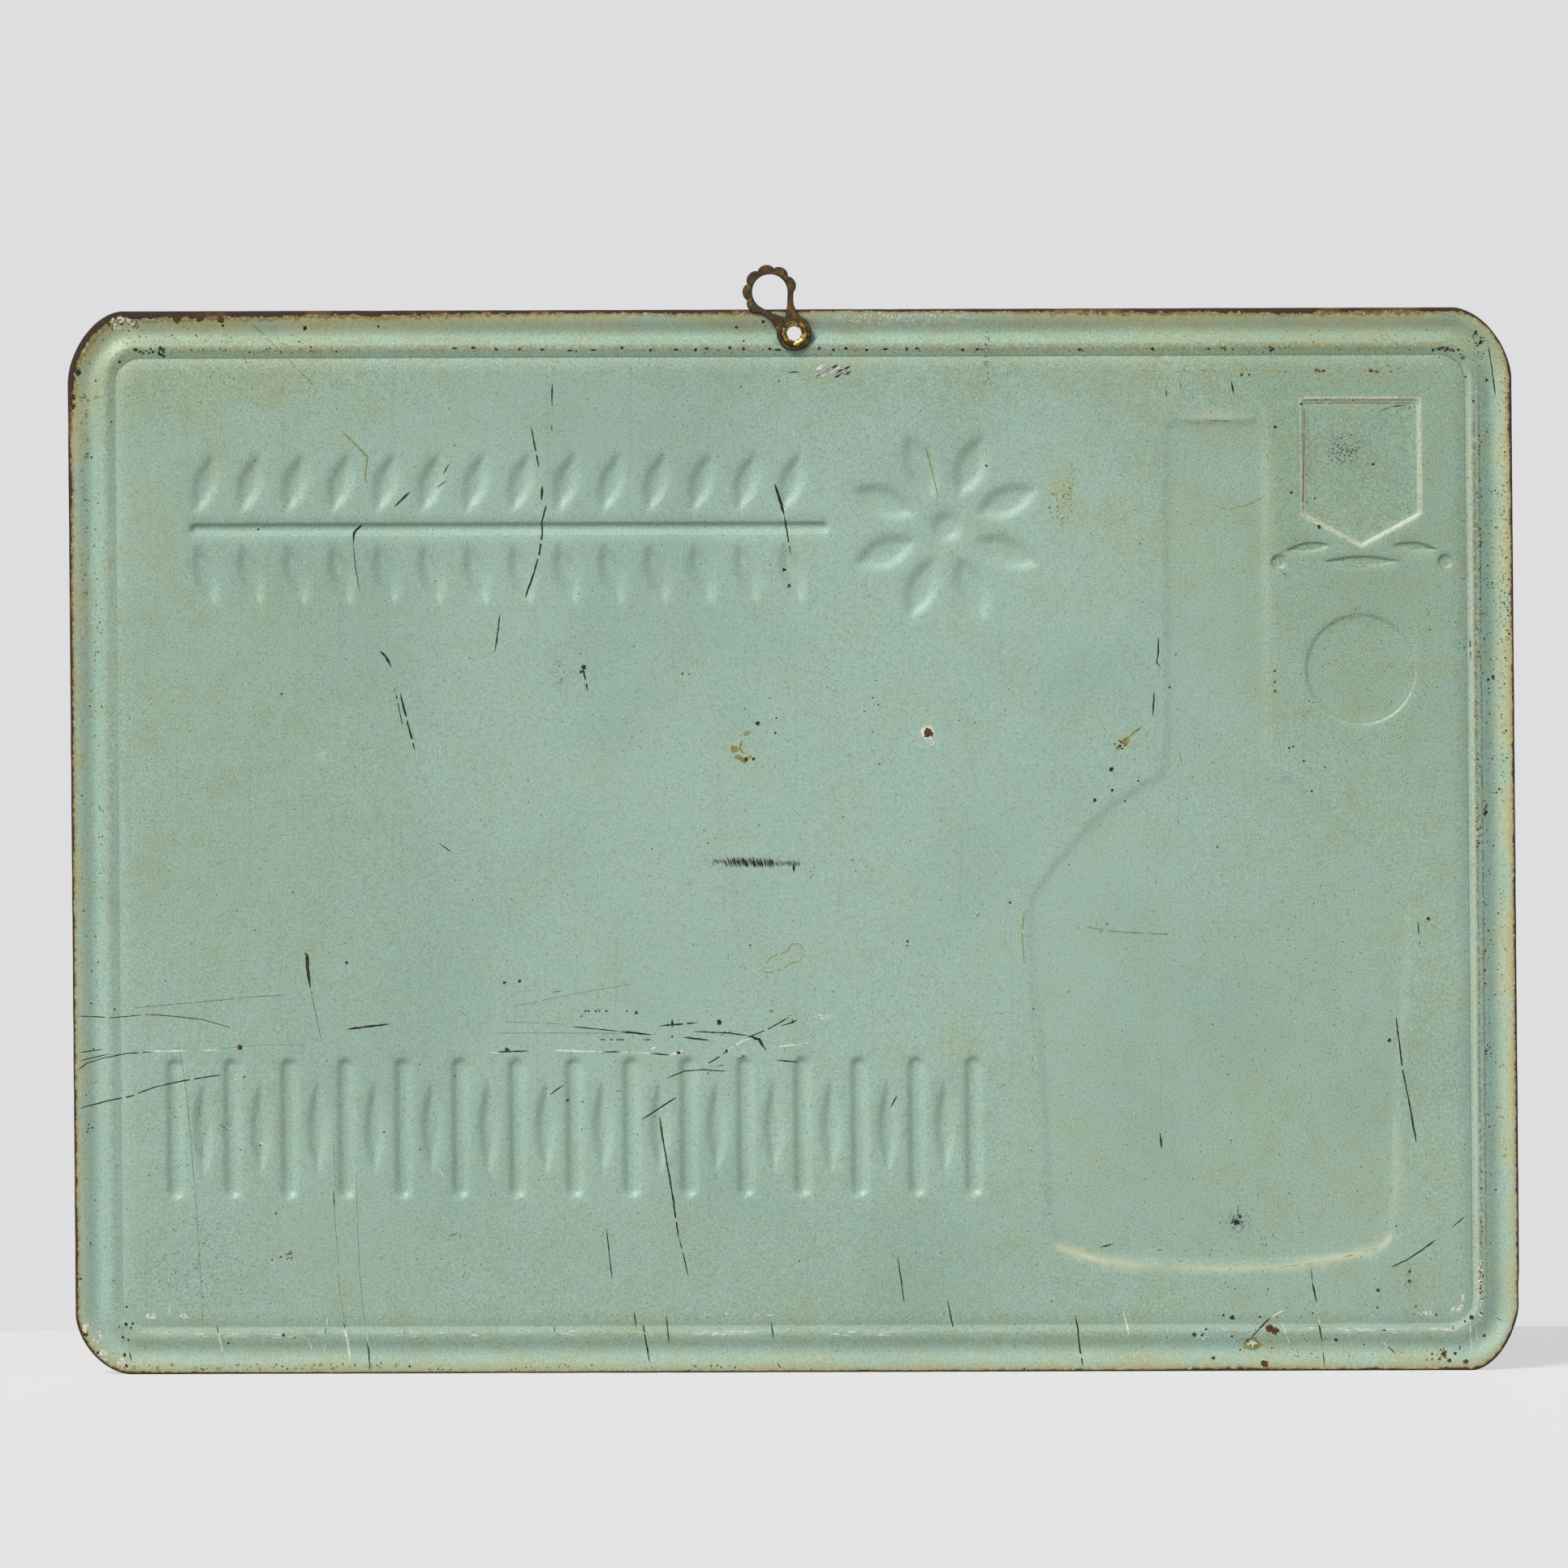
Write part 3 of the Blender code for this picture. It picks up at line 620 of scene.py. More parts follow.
# %% [markdown]
# ## The height of every place
#
# A pressed wall in thin tin is never a straight slope: the metal rolls over its
# upper edge and into its foot, so the walls follow a smooth S. The panel also isn't
# quite flat. It waves by a tenth of a millimetre over the width of a hand,
# which is what gives painted tin its uneven sheen.

# %% Heights on the sheet
SEAT_RADIUS, SEAT_SLOPE = 0.0039, 0.0008
WAVE_HEIGHT, WAVE_LENGTH = 0.00016, 0.065


def pressed_height(places, pieces):
    """The height that these pressings give each place, the deepest one where two meet."""
    height = np.zeros(len(places))
    for piece in pieces:
        share = np.clip(piece.inside(places) / piece.wall, 0, 1)
        height = np.minimum(height, -piece.depth * share * share * (3 - 2 * share))
    return height


def waves(places, distance):
    """A gentle unevenness that dies out towards the stiff border."""
    inner = np.clip((distance - RIDGE) / (PANEL - RIDGE), 0, 1)
    values = [noise.noise(Vector((x, y, 0.5)) / WAVE_LENGTH) for x, y in places]
    return WAVE_HEIGHT * np.array(values) * inner


def sheet_height(places, distance):
    """The height of each place, with the border, the pressings and the eyelet's flat seat."""
    skew, groove = by_side(places, *SKEWS), by_side(places, *GROOVE_SHARES)
    border = border_height(distance, skew, groove) * pressed_share(places)
    height = np.minimum(border, pressed_height(places, pressed))
    height = height + waves(places, distance)
    past_seat = np.linalg.norm(places - EYELET, axis=1) - SEAT_RADIUS
    share = np.clip(past_seat / SEAT_SLOPE, 0, 1)
    return -TROUGH_DEPTH + (height + TROUGH_DEPTH) * share


trial = np.array(((0.0, 0.0), tuple(ROSETTE), (EMBLEM, 0.1)))
print("heights, mm:", np.round(1000 * sheet_height(trial, edge_distance(trial)), 3))

# %% [markdown]
# ## Scratches and chips
#
# A scratch or a chip is a real edge in the paint, so it is cut into the mesh as
# faces with a finish of their own, and not painted on. They are placed from the
# photograph, in its pixels. A scratch is a ribbon that is narrow at its ends
# and uneven along its edges. A chip is a ragged little polygon.
#
# The kinds are what shows through the paint: dark for old tarnished tin, pale for
# chalked paint, bare for bright tin, rust, and tan for the stained varnish round it.

# %% Scratches: a width in millimetres, then the path's x, y, x, y and so on in pixels
DARK_SCRATCHES = (
    (0.40, 680, 472, 680, 501), (0.30, 679, 523, 680, 532), (0.38, 654, 526, 664, 576),
    (0.75, 668, 599, 667, 616), (0.42, 673, 622, 667, 644, 668, 656, 664, 684, 657, 708, 647, 736),
    (0.34, 616, 756, 612, 788, 609, 804), (0.45, 553, 572, 546, 584), (0.40, 550, 592, 538, 601),
    (0.50, 505, 606, 486, 624), (0.50, 446, 646, 436, 656, 435, 670),
    (0.20, 435, 670, 438, 700, 443, 729), (0.55, 954, 596, 960, 613, 966, 635),
    (0.35, 966, 635, 974, 682), (0.55, 468, 802, 475, 809, 482, 822), (0.28, 486, 847, 496, 895),
    (0.42, 493, 855, 511, 925), (0.30, 541, 1039, 556, 1050), (0.35, 717, 818, 724, 852),
    (0.50, 1517, 470, 1520, 486), (0.40, 1437, 480, 1437, 489),
    (0.34, 1427, 785, 1427, 805, 1425, 816, 1430, 823), (0.36, 1422, 852, 1420, 883),
    (0.20, 1699, 507, 1714, 501), (0.34, 1714, 501, 1730, 499),
    (0.26, 1834, 426, 1838, 450, 1843, 487), (0.14, 1603, 497, 1660, 496, 1742, 497),
    (0.14, 1607, 499, 1607, 560, 1605, 628), (0.16, 1489, 518, 1516, 519),
    (0.26, 1758, 749, 1760, 759), (0.24, 1772, 719, 1774, 726), (0.28, 1811, 787, 1812, 813),
    (0.24, 1454, 470, 1455, 479), (0.72, 375, 1174, 378, 1176, 379, 1192, 382, 1217),
    (0.11, 382, 1217, 389, 1250, 396, 1283), (0.45, 408, 1215, 408, 1220),
    (0.45, 428, 1268, 479, 1262), (0.50, 1429, 1396, 1431, 1415),
    (0.36, 1720, 1253, 1728, 1318, 1737, 1364, 1745, 1408), (0.28, 1747, 1136, 1749, 1165),
    (0.36, 1714, 1561.5, 1732, 1553, 1747, 1543.5, 1769, 1527.5), (0.26, 1788, 1513, 1807, 1497),
    (0.50, 1617, 1581, 1622, 1605), (0.22, 1615, 1563, 1617, 1581),
    (0.32, 1624, 1622, 1627, 1643, 1629, 1653), (0.34, 1630, 1665, 1632, 1685),
    (0.34, 1566, 1623, 1552, 1637, 1541, 1648), (0.34, 1710, 1659, 1719, 1668),
    (0.30, 1698, 1678, 1704, 1682), (0.45, 1799, 1658, 1799, 1668), (0.28, 1840, 1616, 1845, 1620),
    (0.28, 1844, 1624, 1852, 1628), (0.08, 220, 1283, 231, 1360, 240, 1466),
    (0.07, 240, 1466, 247, 1571, 250, 1634), (0.07, 252, 1389, 247, 1427),
    (0.08, 411, 1410, 413, 1466), (0.24, 411, 1466, 412, 1492),
    (0.07, 412, 1492, 415, 1536, 418, 1588, 424, 1628),
    (0.07, 438, 1424, 440, 1501, 443, 1571, 450, 1641), (0.34, 159, 1666, 162, 1678),
    (0.30, 378, 1642, 380, 1649), (0.34, 423, 1629, 425, 1638), (0.30, 402, 1634, 401, 1646),
    (0.38, 812, 1376, 821, 1430, 829, 1476, 836, 1525), (0.26, 836, 1525, 840, 1538, 848, 1573),
    (0.26, 747, 1514, 754, 1576), (0.28, 553, 1524, 564, 1519),
    (0.26, 1106, 1548, 1110, 1576, 1114, 1605), (0.30, 1167, 1600, 1170, 1616, 1175, 1640),
    (0.36, 1325, 1621, 1328, 1640, 1330, 1659, 1334, 1683), (0.32, 1355, 1537, 1372, 1533),
    (0.42, 1105, 1350, 1097, 1365), (0.34, 267, 1633, 269, 1643), (0.30, 452, 1648, 456, 1688),
    (0.30, 781, 1616, 784, 1637), (0.34, 792, 1632, 796, 1655, 800, 1679),
    (0.30, 821, 1621, 824, 1656), (0.30, 950, 1628, 953, 1651), (0.30, 957, 1679, 962, 1686),
    (0.26, 682, 1634, 684, 1642), (0.24, 1525, 1485, 1526, 1502),
    (0.11, 166, 1242, 207, 1238, 265, 1233, 312, 1228, 353, 1226),
    (0.20, 95, 1252, 139, 1254, 183, 1250, 212, 1252, 248, 1256, 284, 1266),
    (0.24, 95, 1319, 107, 1310, 130, 1303, 157, 1298, 189, 1296), (0.26, 97, 1297, 127, 1293),
    (0.26, 98, 1307, 133, 1299),
    (0.28, 97, 1366, 130, 1357, 160, 1351, 189, 1340, 224, 1332, 273, 1324),
    (0.26, 705, 1265, 735, 1268, 764, 1271), (0.42, 764, 1271, 803, 1275),
    (0.34, 812, 1264, 837, 1262, 860, 1260), (0.85, 828, 1256, 828, 1266),
    (0.22, 823, 1258, 823, 1267), (0.38, 842, 1278, 874, 1282),
    (0.30, 853, 1271, 898, 1273, 923, 1276), (0.62, 923, 1276, 935, 1281, 940, 1289, 944, 1294),
    (0.26, 887, 1276, 901, 1271), (0.34, 869, 1313, 895, 1296),
    (0.28, 916, 1281, 946, 1268, 973, 1253), (0.26, 970, 1252, 976, 1251, 976, 1260, 971, 1261),
    (0.34, 962, 1264, 976, 1260, 986, 1254), (0.26, 821, 1329, 842, 1320, 866, 1318, 895, 1320),
    (0.20, 879, 1315, 892, 1312), (0.38, 790, 1380, 804, 1371, 833, 1352),
    (0.28, 676, 1350, 695, 1336), (0.34, 957, 1306, 983, 1309), (0.34, 613, 1296, 651, 1295),
    (0.34, 743, 1296, 764, 1296), (0.34, 801, 1298, 825, 1300), (0.30, 681, 1223, 691, 1221),
    (0.30, 568, 1248, 574, 1251), (0.24, 657, 1262, 657, 1269), (0.24, 908, 1305, 919, 1301),
    (0.24, 758, 1345, 766, 1343), (0.24, 780, 1338, 787, 1336), (0.34, 985, 1300, 985, 1305),
    (0.30, 999, 1360, 999, 1365), (0.45, 1044, 932, 1048, 929), (0.45, 1073, 926, 1076, 924),
    (0.45, 998, 1082, 1001, 1078), (0.80, 978, 1064, 978, 1074), (0.08, 621, 1259, 697, 1262),
    (0.09, 608, 1273, 700, 1273, 783, 1273), (0.07, 633, 1240, 700, 1226, 780, 1212),
    (0.06, 270, 1292, 320, 1288, 378, 1287), (0.36, 971, 459, 985, 458),
)
PALE_SCRATCHES = (
    (0.34, 185, 1295, 231, 1295), (0.30, 248, 1294, 269, 1294), (0.40, 604, 1297, 613, 1297),
    (0.36, 683, 1294, 743, 1296), (0.36, 764, 1296, 801, 1298), (0.80, 825, 1300, 841, 1295),
    (0.80, 801, 1293, 808, 1290), (0.30, 763, 1300, 771, 1298),
    (0.45, 899, 1293, 911, 1284, 924, 1279), (0.60, 905, 1292, 907, 1297),
    (0.50, 916, 1293, 917, 1299), (0.30, 951, 1290, 985, 1287), (0.40, 983, 1288, 996, 1285),
    (0.40, 1384, 1615, 1391, 1645), (0.42, 1582, 1614, 1566, 1623), (0.26, 1579, 1628, 1589, 1657),
    (0.34, 1698, 1649, 1710, 1659), (0.34, 1622, 1605, 1624, 1612), (0.34, 1624, 1622, 1626, 1634),
    (0.34, 1811, 1629, 1812, 1646, 1814, 1663), (0.30, 1819, 1635, 1820, 1653),
    (0.40, 403, 1624, 402, 1636), (0.40, 401, 1655, 399, 1666),
    (0.55, 425, 1638, 428, 1655, 431, 1675), (0.40, 269, 1643, 274, 1666),
    (0.40, 380, 1649, 384, 1663), (0.30, 451, 1641, 454, 1660), (0.34, 540, 1440, 548, 1451),
    (0.24, 1002, 1249, 1014, 1252, 1026, 1252), (0.24, 1002, 1252, 1014, 1255, 1025, 1255),
    (0.24, 208, 1606, 209, 1622),
)
TAN_SCRATCHES = (
    (0.24, 311, 400, 345, 432, 391, 480), (0.34, 420, 530, 436, 546, 453, 563, 449, 591, 457, 600),
    (0.26, 1336, 1142, 1374, 1148, 1449, 1152), (0.30, 1262, 1121, 1259, 1150, 1262, 1188),
    (0.60, 96, 489, 110, 490, 127, 489), (0.24, 1272, 1298, 1272, 1326),
    (0.24, 1229, 1341, 1244, 1334), (0.22, 1569, 690, 1576, 681, 1593, 676, 1622, 675),
    (0.22, 1656, 695, 1671, 698, 1695, 697, 1700, 690),
    (0.22, 1736, 677, 1751, 673, 1768, 676, 1778, 681),
    (0.26, 1494, 622, 1511, 628, 1535, 623, 1559, 612), (0.26, 1453, 925, 1456, 942),
    (0.22, 938, 1195, 949, 1180, 970, 1172, 975, 1163, 985, 1163, 991, 1173),
    (0.22, 991, 1173, 985, 1185, 975, 1187, 962, 1195, 945, 1199, 938, 1195),
    (0.16, 537, 1375, 537, 1396), (0.30, 1598, 1661, 1600, 1671),
    (0.30, 343, 422, 350, 424, 358, 427), (1.50, 1375, 924, 1384, 916, 1391, 908),
    (0.14, 1572, 1562, 1600, 1559, 1622, 1556), (0.30, 1655, 1549.5, 1672, 1545),
    (0.14, 1676, 1544, 1698, 1538), (0.60, 1391, 908, 1398, 902, 1407, 895),
    (0.26, 1140, 549, 1148, 580, 1156, 613),
    (1.20, 925, 902, 912, 907, 904, 919, 907, 931, 917, 938, 926, 931),
    (0.60, 914, 912, 911, 922, 917, 929),
)
print("scratches:", len(DARK_SCRATCHES) + len(PALE_SCRATCHES) + len(TAN_SCRATCHES))

# %% Chips: a kind, how squashed they are, and for each its place in pixels and radius in mm
CHIPS = (
    ("rust", 1, (933, 891.5, 0.75)),
    ("pale", 1, (1142.5, 904, 2.10), (1148.3, 915.7, 0.60)),
    ("rust", 1,
     (1143.5, 903, 1.15), (1148.3, 915.7, 0.25), (218, 394, 1.10), (246, 392, 1.30),
     (272, 394, 1.00), (90, 490, 0.90), (90, 501, 0.80), (919, 936, 0.70), (928, 935, 0.50),
     (1074.5, 902.6, 0.28), (1243.9, 1112, 0.40), (956.4, 885, 0.40), (955, 903, 0.40),
     (1499.7, 1043.5, 0.40), (1760, 1132, 0.60), (1570.5, 826.8, 0.45), (1570.5, 840, 0.40),
     (1571.5, 852, 0.45), (1588.4, 921.3, 0.45), (1593.3, 919.9, 0.40), (1632, 945.6, 0.35),
     (295, 1290, 0.80), (155, 1632, 0.60), (163, 1631, 0.50), (161, 1636, 0.40), (147, 1635, 0.35),
     (158, 1651, 0.45), (153, 1670, 0.60), (105, 1644, 0.90), (101, 1640, 0.60),
     (1812, 1682, 1.30), (1806, 1678, 0.80), (1779, 1668, 0.70), (1790, 1637, 0.60),
     (1495, 1673, 0.60), (1698, 1590, 0.60), (1866, 1504, 1.00), (1697, 1611, 0.40)),
    ("tan", 1, (1744, 1610, 0.60)),
    ("rust", 1, (1530, 462, 0.50), (1539, 462, 0.40), (1622, 456, 0.50), (1689, 457, 0.60)),
    ("dark", 1, (784, 1248, 0.62)),
    ("rust", 1,
     (624, 1294, 0.80), (640, 1209, 0.60), (895, 1295, 0.50), (828, 1277.5, 0.40),
     (699, 1356, 0.50)),
    ("pale", 1,
     (676, 1350, 0.35), (665, 1365, 0.30), (659, 1374, 0.30), (322, 1409, 0.40), (893, 1206, 0.22)),
    ("tan", 0.62, (1543, 1656, 3.2)),
    ("pale", 0.60, (1543, 1656, 1.9)),
    ("tan", 1, (1537, 1653, 0.55), (1547, 1659, 0.65), (1549, 1653, 0.55), (1541, 1658, 0.50)),
    ("dark", 1,
     (320, 1411, 0.30), (99, 1576, 0.40), (156, 1610.5, 0.40), (120, 1667, 0.45),
     (281, 1655, 0.40), (247, 1646.5, 0.30), (349, 1645, 0.55), (335, 1552, 0.35),
     (340, 1495, 0.35), (301, 1327, 0.30), (296, 1417, 0.30), (141, 1244, 0.40), (473, 1395, 0.35),
     (948, 860, 0.28), (917, 874, 0.28), (1082, 868.5, 0.30), (1079, 838.6, 0.30),
     (1065, 876.6, 0.30), (1075, 860, 0.30), (1083.5, 941.4, 0.30), (1200.6, 890.7, 0.28),
     (1038.6, 1006.7, 0.28), (1054, 1073.3, 0.24), (1118, 1160, 0.42), (1118, 1165, 0.30),
     (924, 1164.6, 0.36), (1027, 1222, 0.30), (1402, 962, 0.40), (1386, 987, 0.35),
     (1424, 1087, 0.28), (1606, 938, 0.42), (1616, 975, 0.42), (1441, 847, 0.45),
     (1804, 798, 0.35), (1603, 498, 0.45), (1847.8, 972, 0.42), (1843.9, 977, 0.36),
     (1568.5, 1522.4, 0.28), (1604.4, 1519, 0.26), (1490.5, 1546, 0.26), (1562, 1588.4, 0.28),
     (1719.8, 1510.7, 0.30), (1646, 1651, 0.60), (1567, 1661, 0.30), (1528, 1663.6, 0.30),
     (1471.7, 1644.5, 0.60), (1486, 1638, 0.40), (1517.7, 1646.5, 0.45), (1537, 1651.5, 0.45),
     (1573.6, 1622.6, 0.35), (1552, 1623, 0.40), (1507, 1620.7, 0.45), (1812.7, 1623.5, 0.75),
     (1805, 1628, 0.40), (1796.4, 1612, 0.40), (1769.7, 1620, 0.40), (1706, 1639, 0.40),
     (1828.7, 1646, 0.50), (1621, 493, 0.28), (1634, 492, 0.28), (1667, 493, 0.28),
     (1692, 572, 0.50), (1625, 649, 0.60), (1806, 464, 0.35), (1815, 494, 0.40), (96, 459, 0.90),
     (147, 446, 0.50), (117, 469, 0.35), (274, 401, 0.45), (375, 404, 0.70), (241, 413, 0.35),
     (368, 421, 0.35), (383, 428, 0.35), (137, 520, 0.30), (112, 563, 0.40), (318, 652, 0.40)),
    ("rust", 1, (840.6, 830, 0.45), (1215, 573.5, 0.50)),
    ("tan", 1, (950.6, 1246, 0.60)),
    ("rust", 1,
     (1712, 1282, 0.60), (1380, 919, 0.50), (1564, 1637.5, 1.15), (1571, 1640, 1.15),
     (1518, 1623.5, 0.80), (1558, 1681, 1.10), (1471, 1644, 0.60)),
    ("dark", 1.3, (1737, 1567, 0.42)),
    ("dark", 1.4, (1736, 1579, 0.42)),
    ("rust", 1, (346, 1549, 0.40)),
    ("dark", 1,
     (347, 855, 0.45), (427, 1186, 0.50), (621, 1211, 0.50), (886, 1260, 0.80), (1369, 948, 0.75),
     (1370, 974, 0.50), (1349, 986, 0.65), (1620, 614, 0.40), (1571, 526, 0.50), (1591, 607, 0.50),
     (1834, 837, 0.50), (1840, 834, 0.55), (1831, 1001, 0.60), (1818, 409, 0.60),
     (1825, 421, 0.60), (1832, 468, 0.50), (940, 396, 0.55), (907, 403, 0.45), (916, 420, 0.35),
     (966, 702, 0.60), (972, 722, 0.60), (719, 822, 0.80), (716, 828, 0.55), (1524, 1506, 0.90),
     (1528, 1499, 0.50), (198, 430, 0.55), (196, 436, 0.50), (466, 402, 0.45), (151, 1648, 0.50),
     (156, 1683, 0.50), (1786, 1676, 0.60), (1793, 1668, 0.55), (836, 1297, 0.60)),
)
# Pits along the ridge at the top, where water stood in the corner of the pressing.
LONG_PITS, LONG_PIT, ROUND_PIT = 0.3, (0.9, 0.4), (0.5, 1)  # a share, radii and squash
RIDGE_PITS_Y = 430
RIDGE_PITS_X = (
    *(560, 583, 611, 640, 668, 702, 731, 766, 801, 833, 857),
    *(871, 899, 916, 948, 958, 1009, 1027, 1042, 1068, 1091, 1117, 1129, 1186, 1204, 1330, 1420),
)
# Clouds of specks: a kind, a middle, two half widths, a count and the specks' radius in mm.
SPECKLES = (
    ("dark", 1655, 556, 19, 17, 60, 0.22), ("rust", 1657, 550, 20, 18, 34, 0.22),
    ("dark", 688, 824, 7, 20, 16, 0.20), ("dark", 1215, 440, 4, 42, 26, 0.22),
    ("dark", 176, 432, 18, 3, 18, 0.35), ("dark", 198, 434, 5, 7, 16, 0.40),
    ("dark", 150, 400, 18, 9, 16, 0.35), ("rust", 148, 398, 24, 12, 20, 0.30),
    ("pale", 150, 399, 16, 8, 34, 0.40), ("rust", 1143.5, 903, 6.0, 6.6, 24, 0.34),
    ("pale", 105, 1637, 4, 5, 14, 0.40), ("pale", 128, 1670, 5, 7, 16, 0.40),
    ("pale", 149, 1679, 6, 6, 14, 0.35), ("pale", 119, 1647, 5, 8, 10, 0.34),
    ("pale", 185, 1622, 8, 3, 18, 0.34), ("pale", 227, 1622, 6, 3, 12, 0.34),
    ("pale", 1482, 1647, 7, 4, 14, 0.30), ("dark", 1482, 1647, 6, 4, 8, 0.26),
    ("tan", 1545, 1656, 15, 9, 9, 0.34), ("pale", 1759, 1618, 13, 3, 16, 0.30),
    ("pale", 1792, 1612, 10, 4, 18, 0.34), ("pale", 1802, 1602, 3, 8, 12, 0.30),
    ("rust", 1772, 1673, 18, 6, 22, 0.34), ("rust", 1778, 1668, 5, 7, 12, 0.36),
    ("dark", 1777, 431, 13, 3, 20, 0.28), ("dark", 1801, 440, 5, 4, 14, 0.28),
    ("dark", 1628, 457, 5, 2, 8, 0.30), ("dark", 1693, 458, 6, 2, 8, 0.30),
    ("dark", 1820, 428, 12, 24, 26, 0.28), ("rust", 1822, 620, 4, 150, 40, 0.28),
    ("dark", 1821, 900, 4, 170, 44, 0.26), ("rust", 1822, 1024, 3, 22, 14, 0.30),
    ("dark", 1830, 992, 2, 22, 9, 0.34), ("pale", 1818, 800, 5, 330, 60, 0.22),
    ("tan", 276, 1388, 8, 6, 12, 0.34), ("dark", 357, 1548, 4, 7, 12, 0.28),
    ("dark", 240, 1560, 70, 60, 150, 0.17), ("dark", 215, 1400, 40, 60, 40, 0.17),
    ("dark", 560, 1540, 60, 40, 40, 0.17), ("dark", 1510, 1540, 60, 50, 60, 0.17),
    ("dark", 1620, 1180, 60, 160, 60, 0.17), ("rust", 1640, 1640, 150, 40, 36, 0.24),
    ("dark", 1600, 1400, 130, 200, 40, 0.20), ("rust", 560, 1684, 420, 4, 56, 0.28),
    ("dark", 1000, 1688, 860, 2, 60, 0.26), ("rust", 1857, 700, 4, 280, 26, 0.35),
    ("dark", 960, 432, 400, 5, 50, 0.24), ("dark", 300, 432, 130, 3, 26, 0.26),
    ("dark", 1560, 430, 200, 4, 26, 0.24), ("dark", 121, 900, 6, 400, 60, 0.24),
    ("dark", 1834, 950, 8, 480, 80, 0.26), ("rust", 1838, 1000, 10, 560, 60, 0.26),
    ("rust", 110, 1000, 10, 560, 46, 0.26), ("rust", 1350, 1140, 30, 8, 10, 0.20),
    ("dark", 1600, 860, 30, 60, 12, 0.20), ("pale", 1296, 610, 18, 26, 6, 0.22),
    ("pale", 1110, 393, 88, 8, 130, 0.27), ("tan", 1306, 622, 15, 26, 46, 0.34),
    ("tan", 1322, 590, 6, 20, 18, 0.30), ("rust", 1380, 918, 7, 7, 8, 0.30),
    ("tan", 1851, 680, 7, 300, 190, 0.30), ("tan", 1852, 1200, 6, 300, 90, 0.28),
    ("rust", 1855, 640, 3, 220, 30, 0.26), ("dark", 1524, 1505, 7, 8, 30, 0.24),
    ("pale", 1665, 490, 62, 1.5, 60, 0.18), ("pale", 1824, 1590, 3, 40, 44, 0.28),
    ("rust", 1825, 1585, 3, 36, 28, 0.26), ("rust", 1825, 1480, 3, 60, 16, 0.24),
    ("dark", 1512, 430, 28, 2, 12, 0.35), ("dark", 1565, 430, 6, 2, 5, 0.40),
    ("dark", 1785, 430, 16, 2.5, 12, 0.40), ("tan", 1600, 457, 210, 3, 50, 0.30),
    ("tan", 1640, 424, 170, 9, 60, 0.28), ("tan", 250, 424, 150, 12, 60, 0.30),
    ("tan", 300, 1684, 210, 3, 40, 0.45), ("tan", 104, 600, 5, 200, 40, 0.40),
    ("dark", 250, 440, 150, 40, 70, 0.20), ("dark", 1700, 700, 110, 260, 90, 0.18),
    ("dark", 1690, 430, 160, 30, 50, 0.20),
)
chip_count = sum(len(run) - 2 for run in CHIPS) + len(RIDGE_PITS_X)
print("chips:", chip_count, "and", sum(cloud[5] for cloud in SPECKLES), "specks")

# %% [markdown]
# ## From marks to faces
#
# Every ribbon is a row of small quads and every chip is one polygon. They go
# into the triangulation as faces, and it tells for each triangle which of them it is in.

# %% Ribbons, chips, dashes and clouds of specks
chance = random.Random(7)
RIBBON_STEP, RAGGED, TAPERED_END = 0.0011, (0.8, 1.7), 0.25
CHIP_RAGGED, SPECK_SIZES = (0.6, 1.15), (0.5, 1.3)  # shares of the radius
MARK_KINDS = ("paint", "dark", "pale", "rust", "tan", "bare")
marks = []  # (kind, points) of each small polygon


def ribbon(kind, width, path, gaps=0.0):
    """A scratch: quads along a path in pixels, tapered at its ends, with gaps by chance."""
    path = [from_photo(x, y) for x, y in zip(path[::2], path[1::2])]
    spots = []
    for a, b in zip(path, path[1:]):
        count = max(1, round(float(np.linalg.norm(b - a)) / RIBBON_STEP))
        spots += [a + (b - a) * i / count for i in range(count)]
    spots.append(path[-1])
    sides = []
    for i, spot in enumerate(spots):
        along = spots[min(i + 1, len(spots) - 1)] - spots[max(i - 1, 0)]
        across = np.array((-along[1], along[0])) / np.linalg.norm(along)
        taper = min(1, TAPERED_END + min(i, len(spots) - 1 - i) / 2)
        half = width / 2000 * taper
        left, right = (half * chance.uniform(*RAGGED) for _ in range(2))
        sides.append((spot + across * left, spot - across * right))
    for (a, b), (c, d) in zip(sides, sides[1:]):
        if chance.random() >= gaps:
            marks.append((kind, [b, d, c, a]))


def chip(kind, x, y, radius, squash=1.0):
    """A ragged polygon round a pixel, its radius in millimetres, flatter if squashed."""
    middle = from_photo(x, y)
    count = 5 if radius < 0.3 else 7 if radius < 0.5 else 11
    turn = chance.uniform(0, math.pi)
    points = []
    for i in range(count):
        reach = radius / 1000 * chance.uniform(*CHIP_RAGGED)
        out = turned(reach, turn + 2 * math.pi * i / count)
        points.append(middle + out * (1, squash))
    marks.append((kind, points))


def speckle(kind, x, y, half_width, half_height, count, radius):
    """A cloud of small chips, spread evenly over an ellipse."""
    for _ in range(count):
        angle, out = chance.uniform(0, 2 * math.pi), math.sqrt(chance.random())
        spot = x + half_width * out * math.cos(angle), y + half_height * out * math.sin(angle)
        chip(kind, *spot, radius * chance.uniform(*SPECK_SIZES))


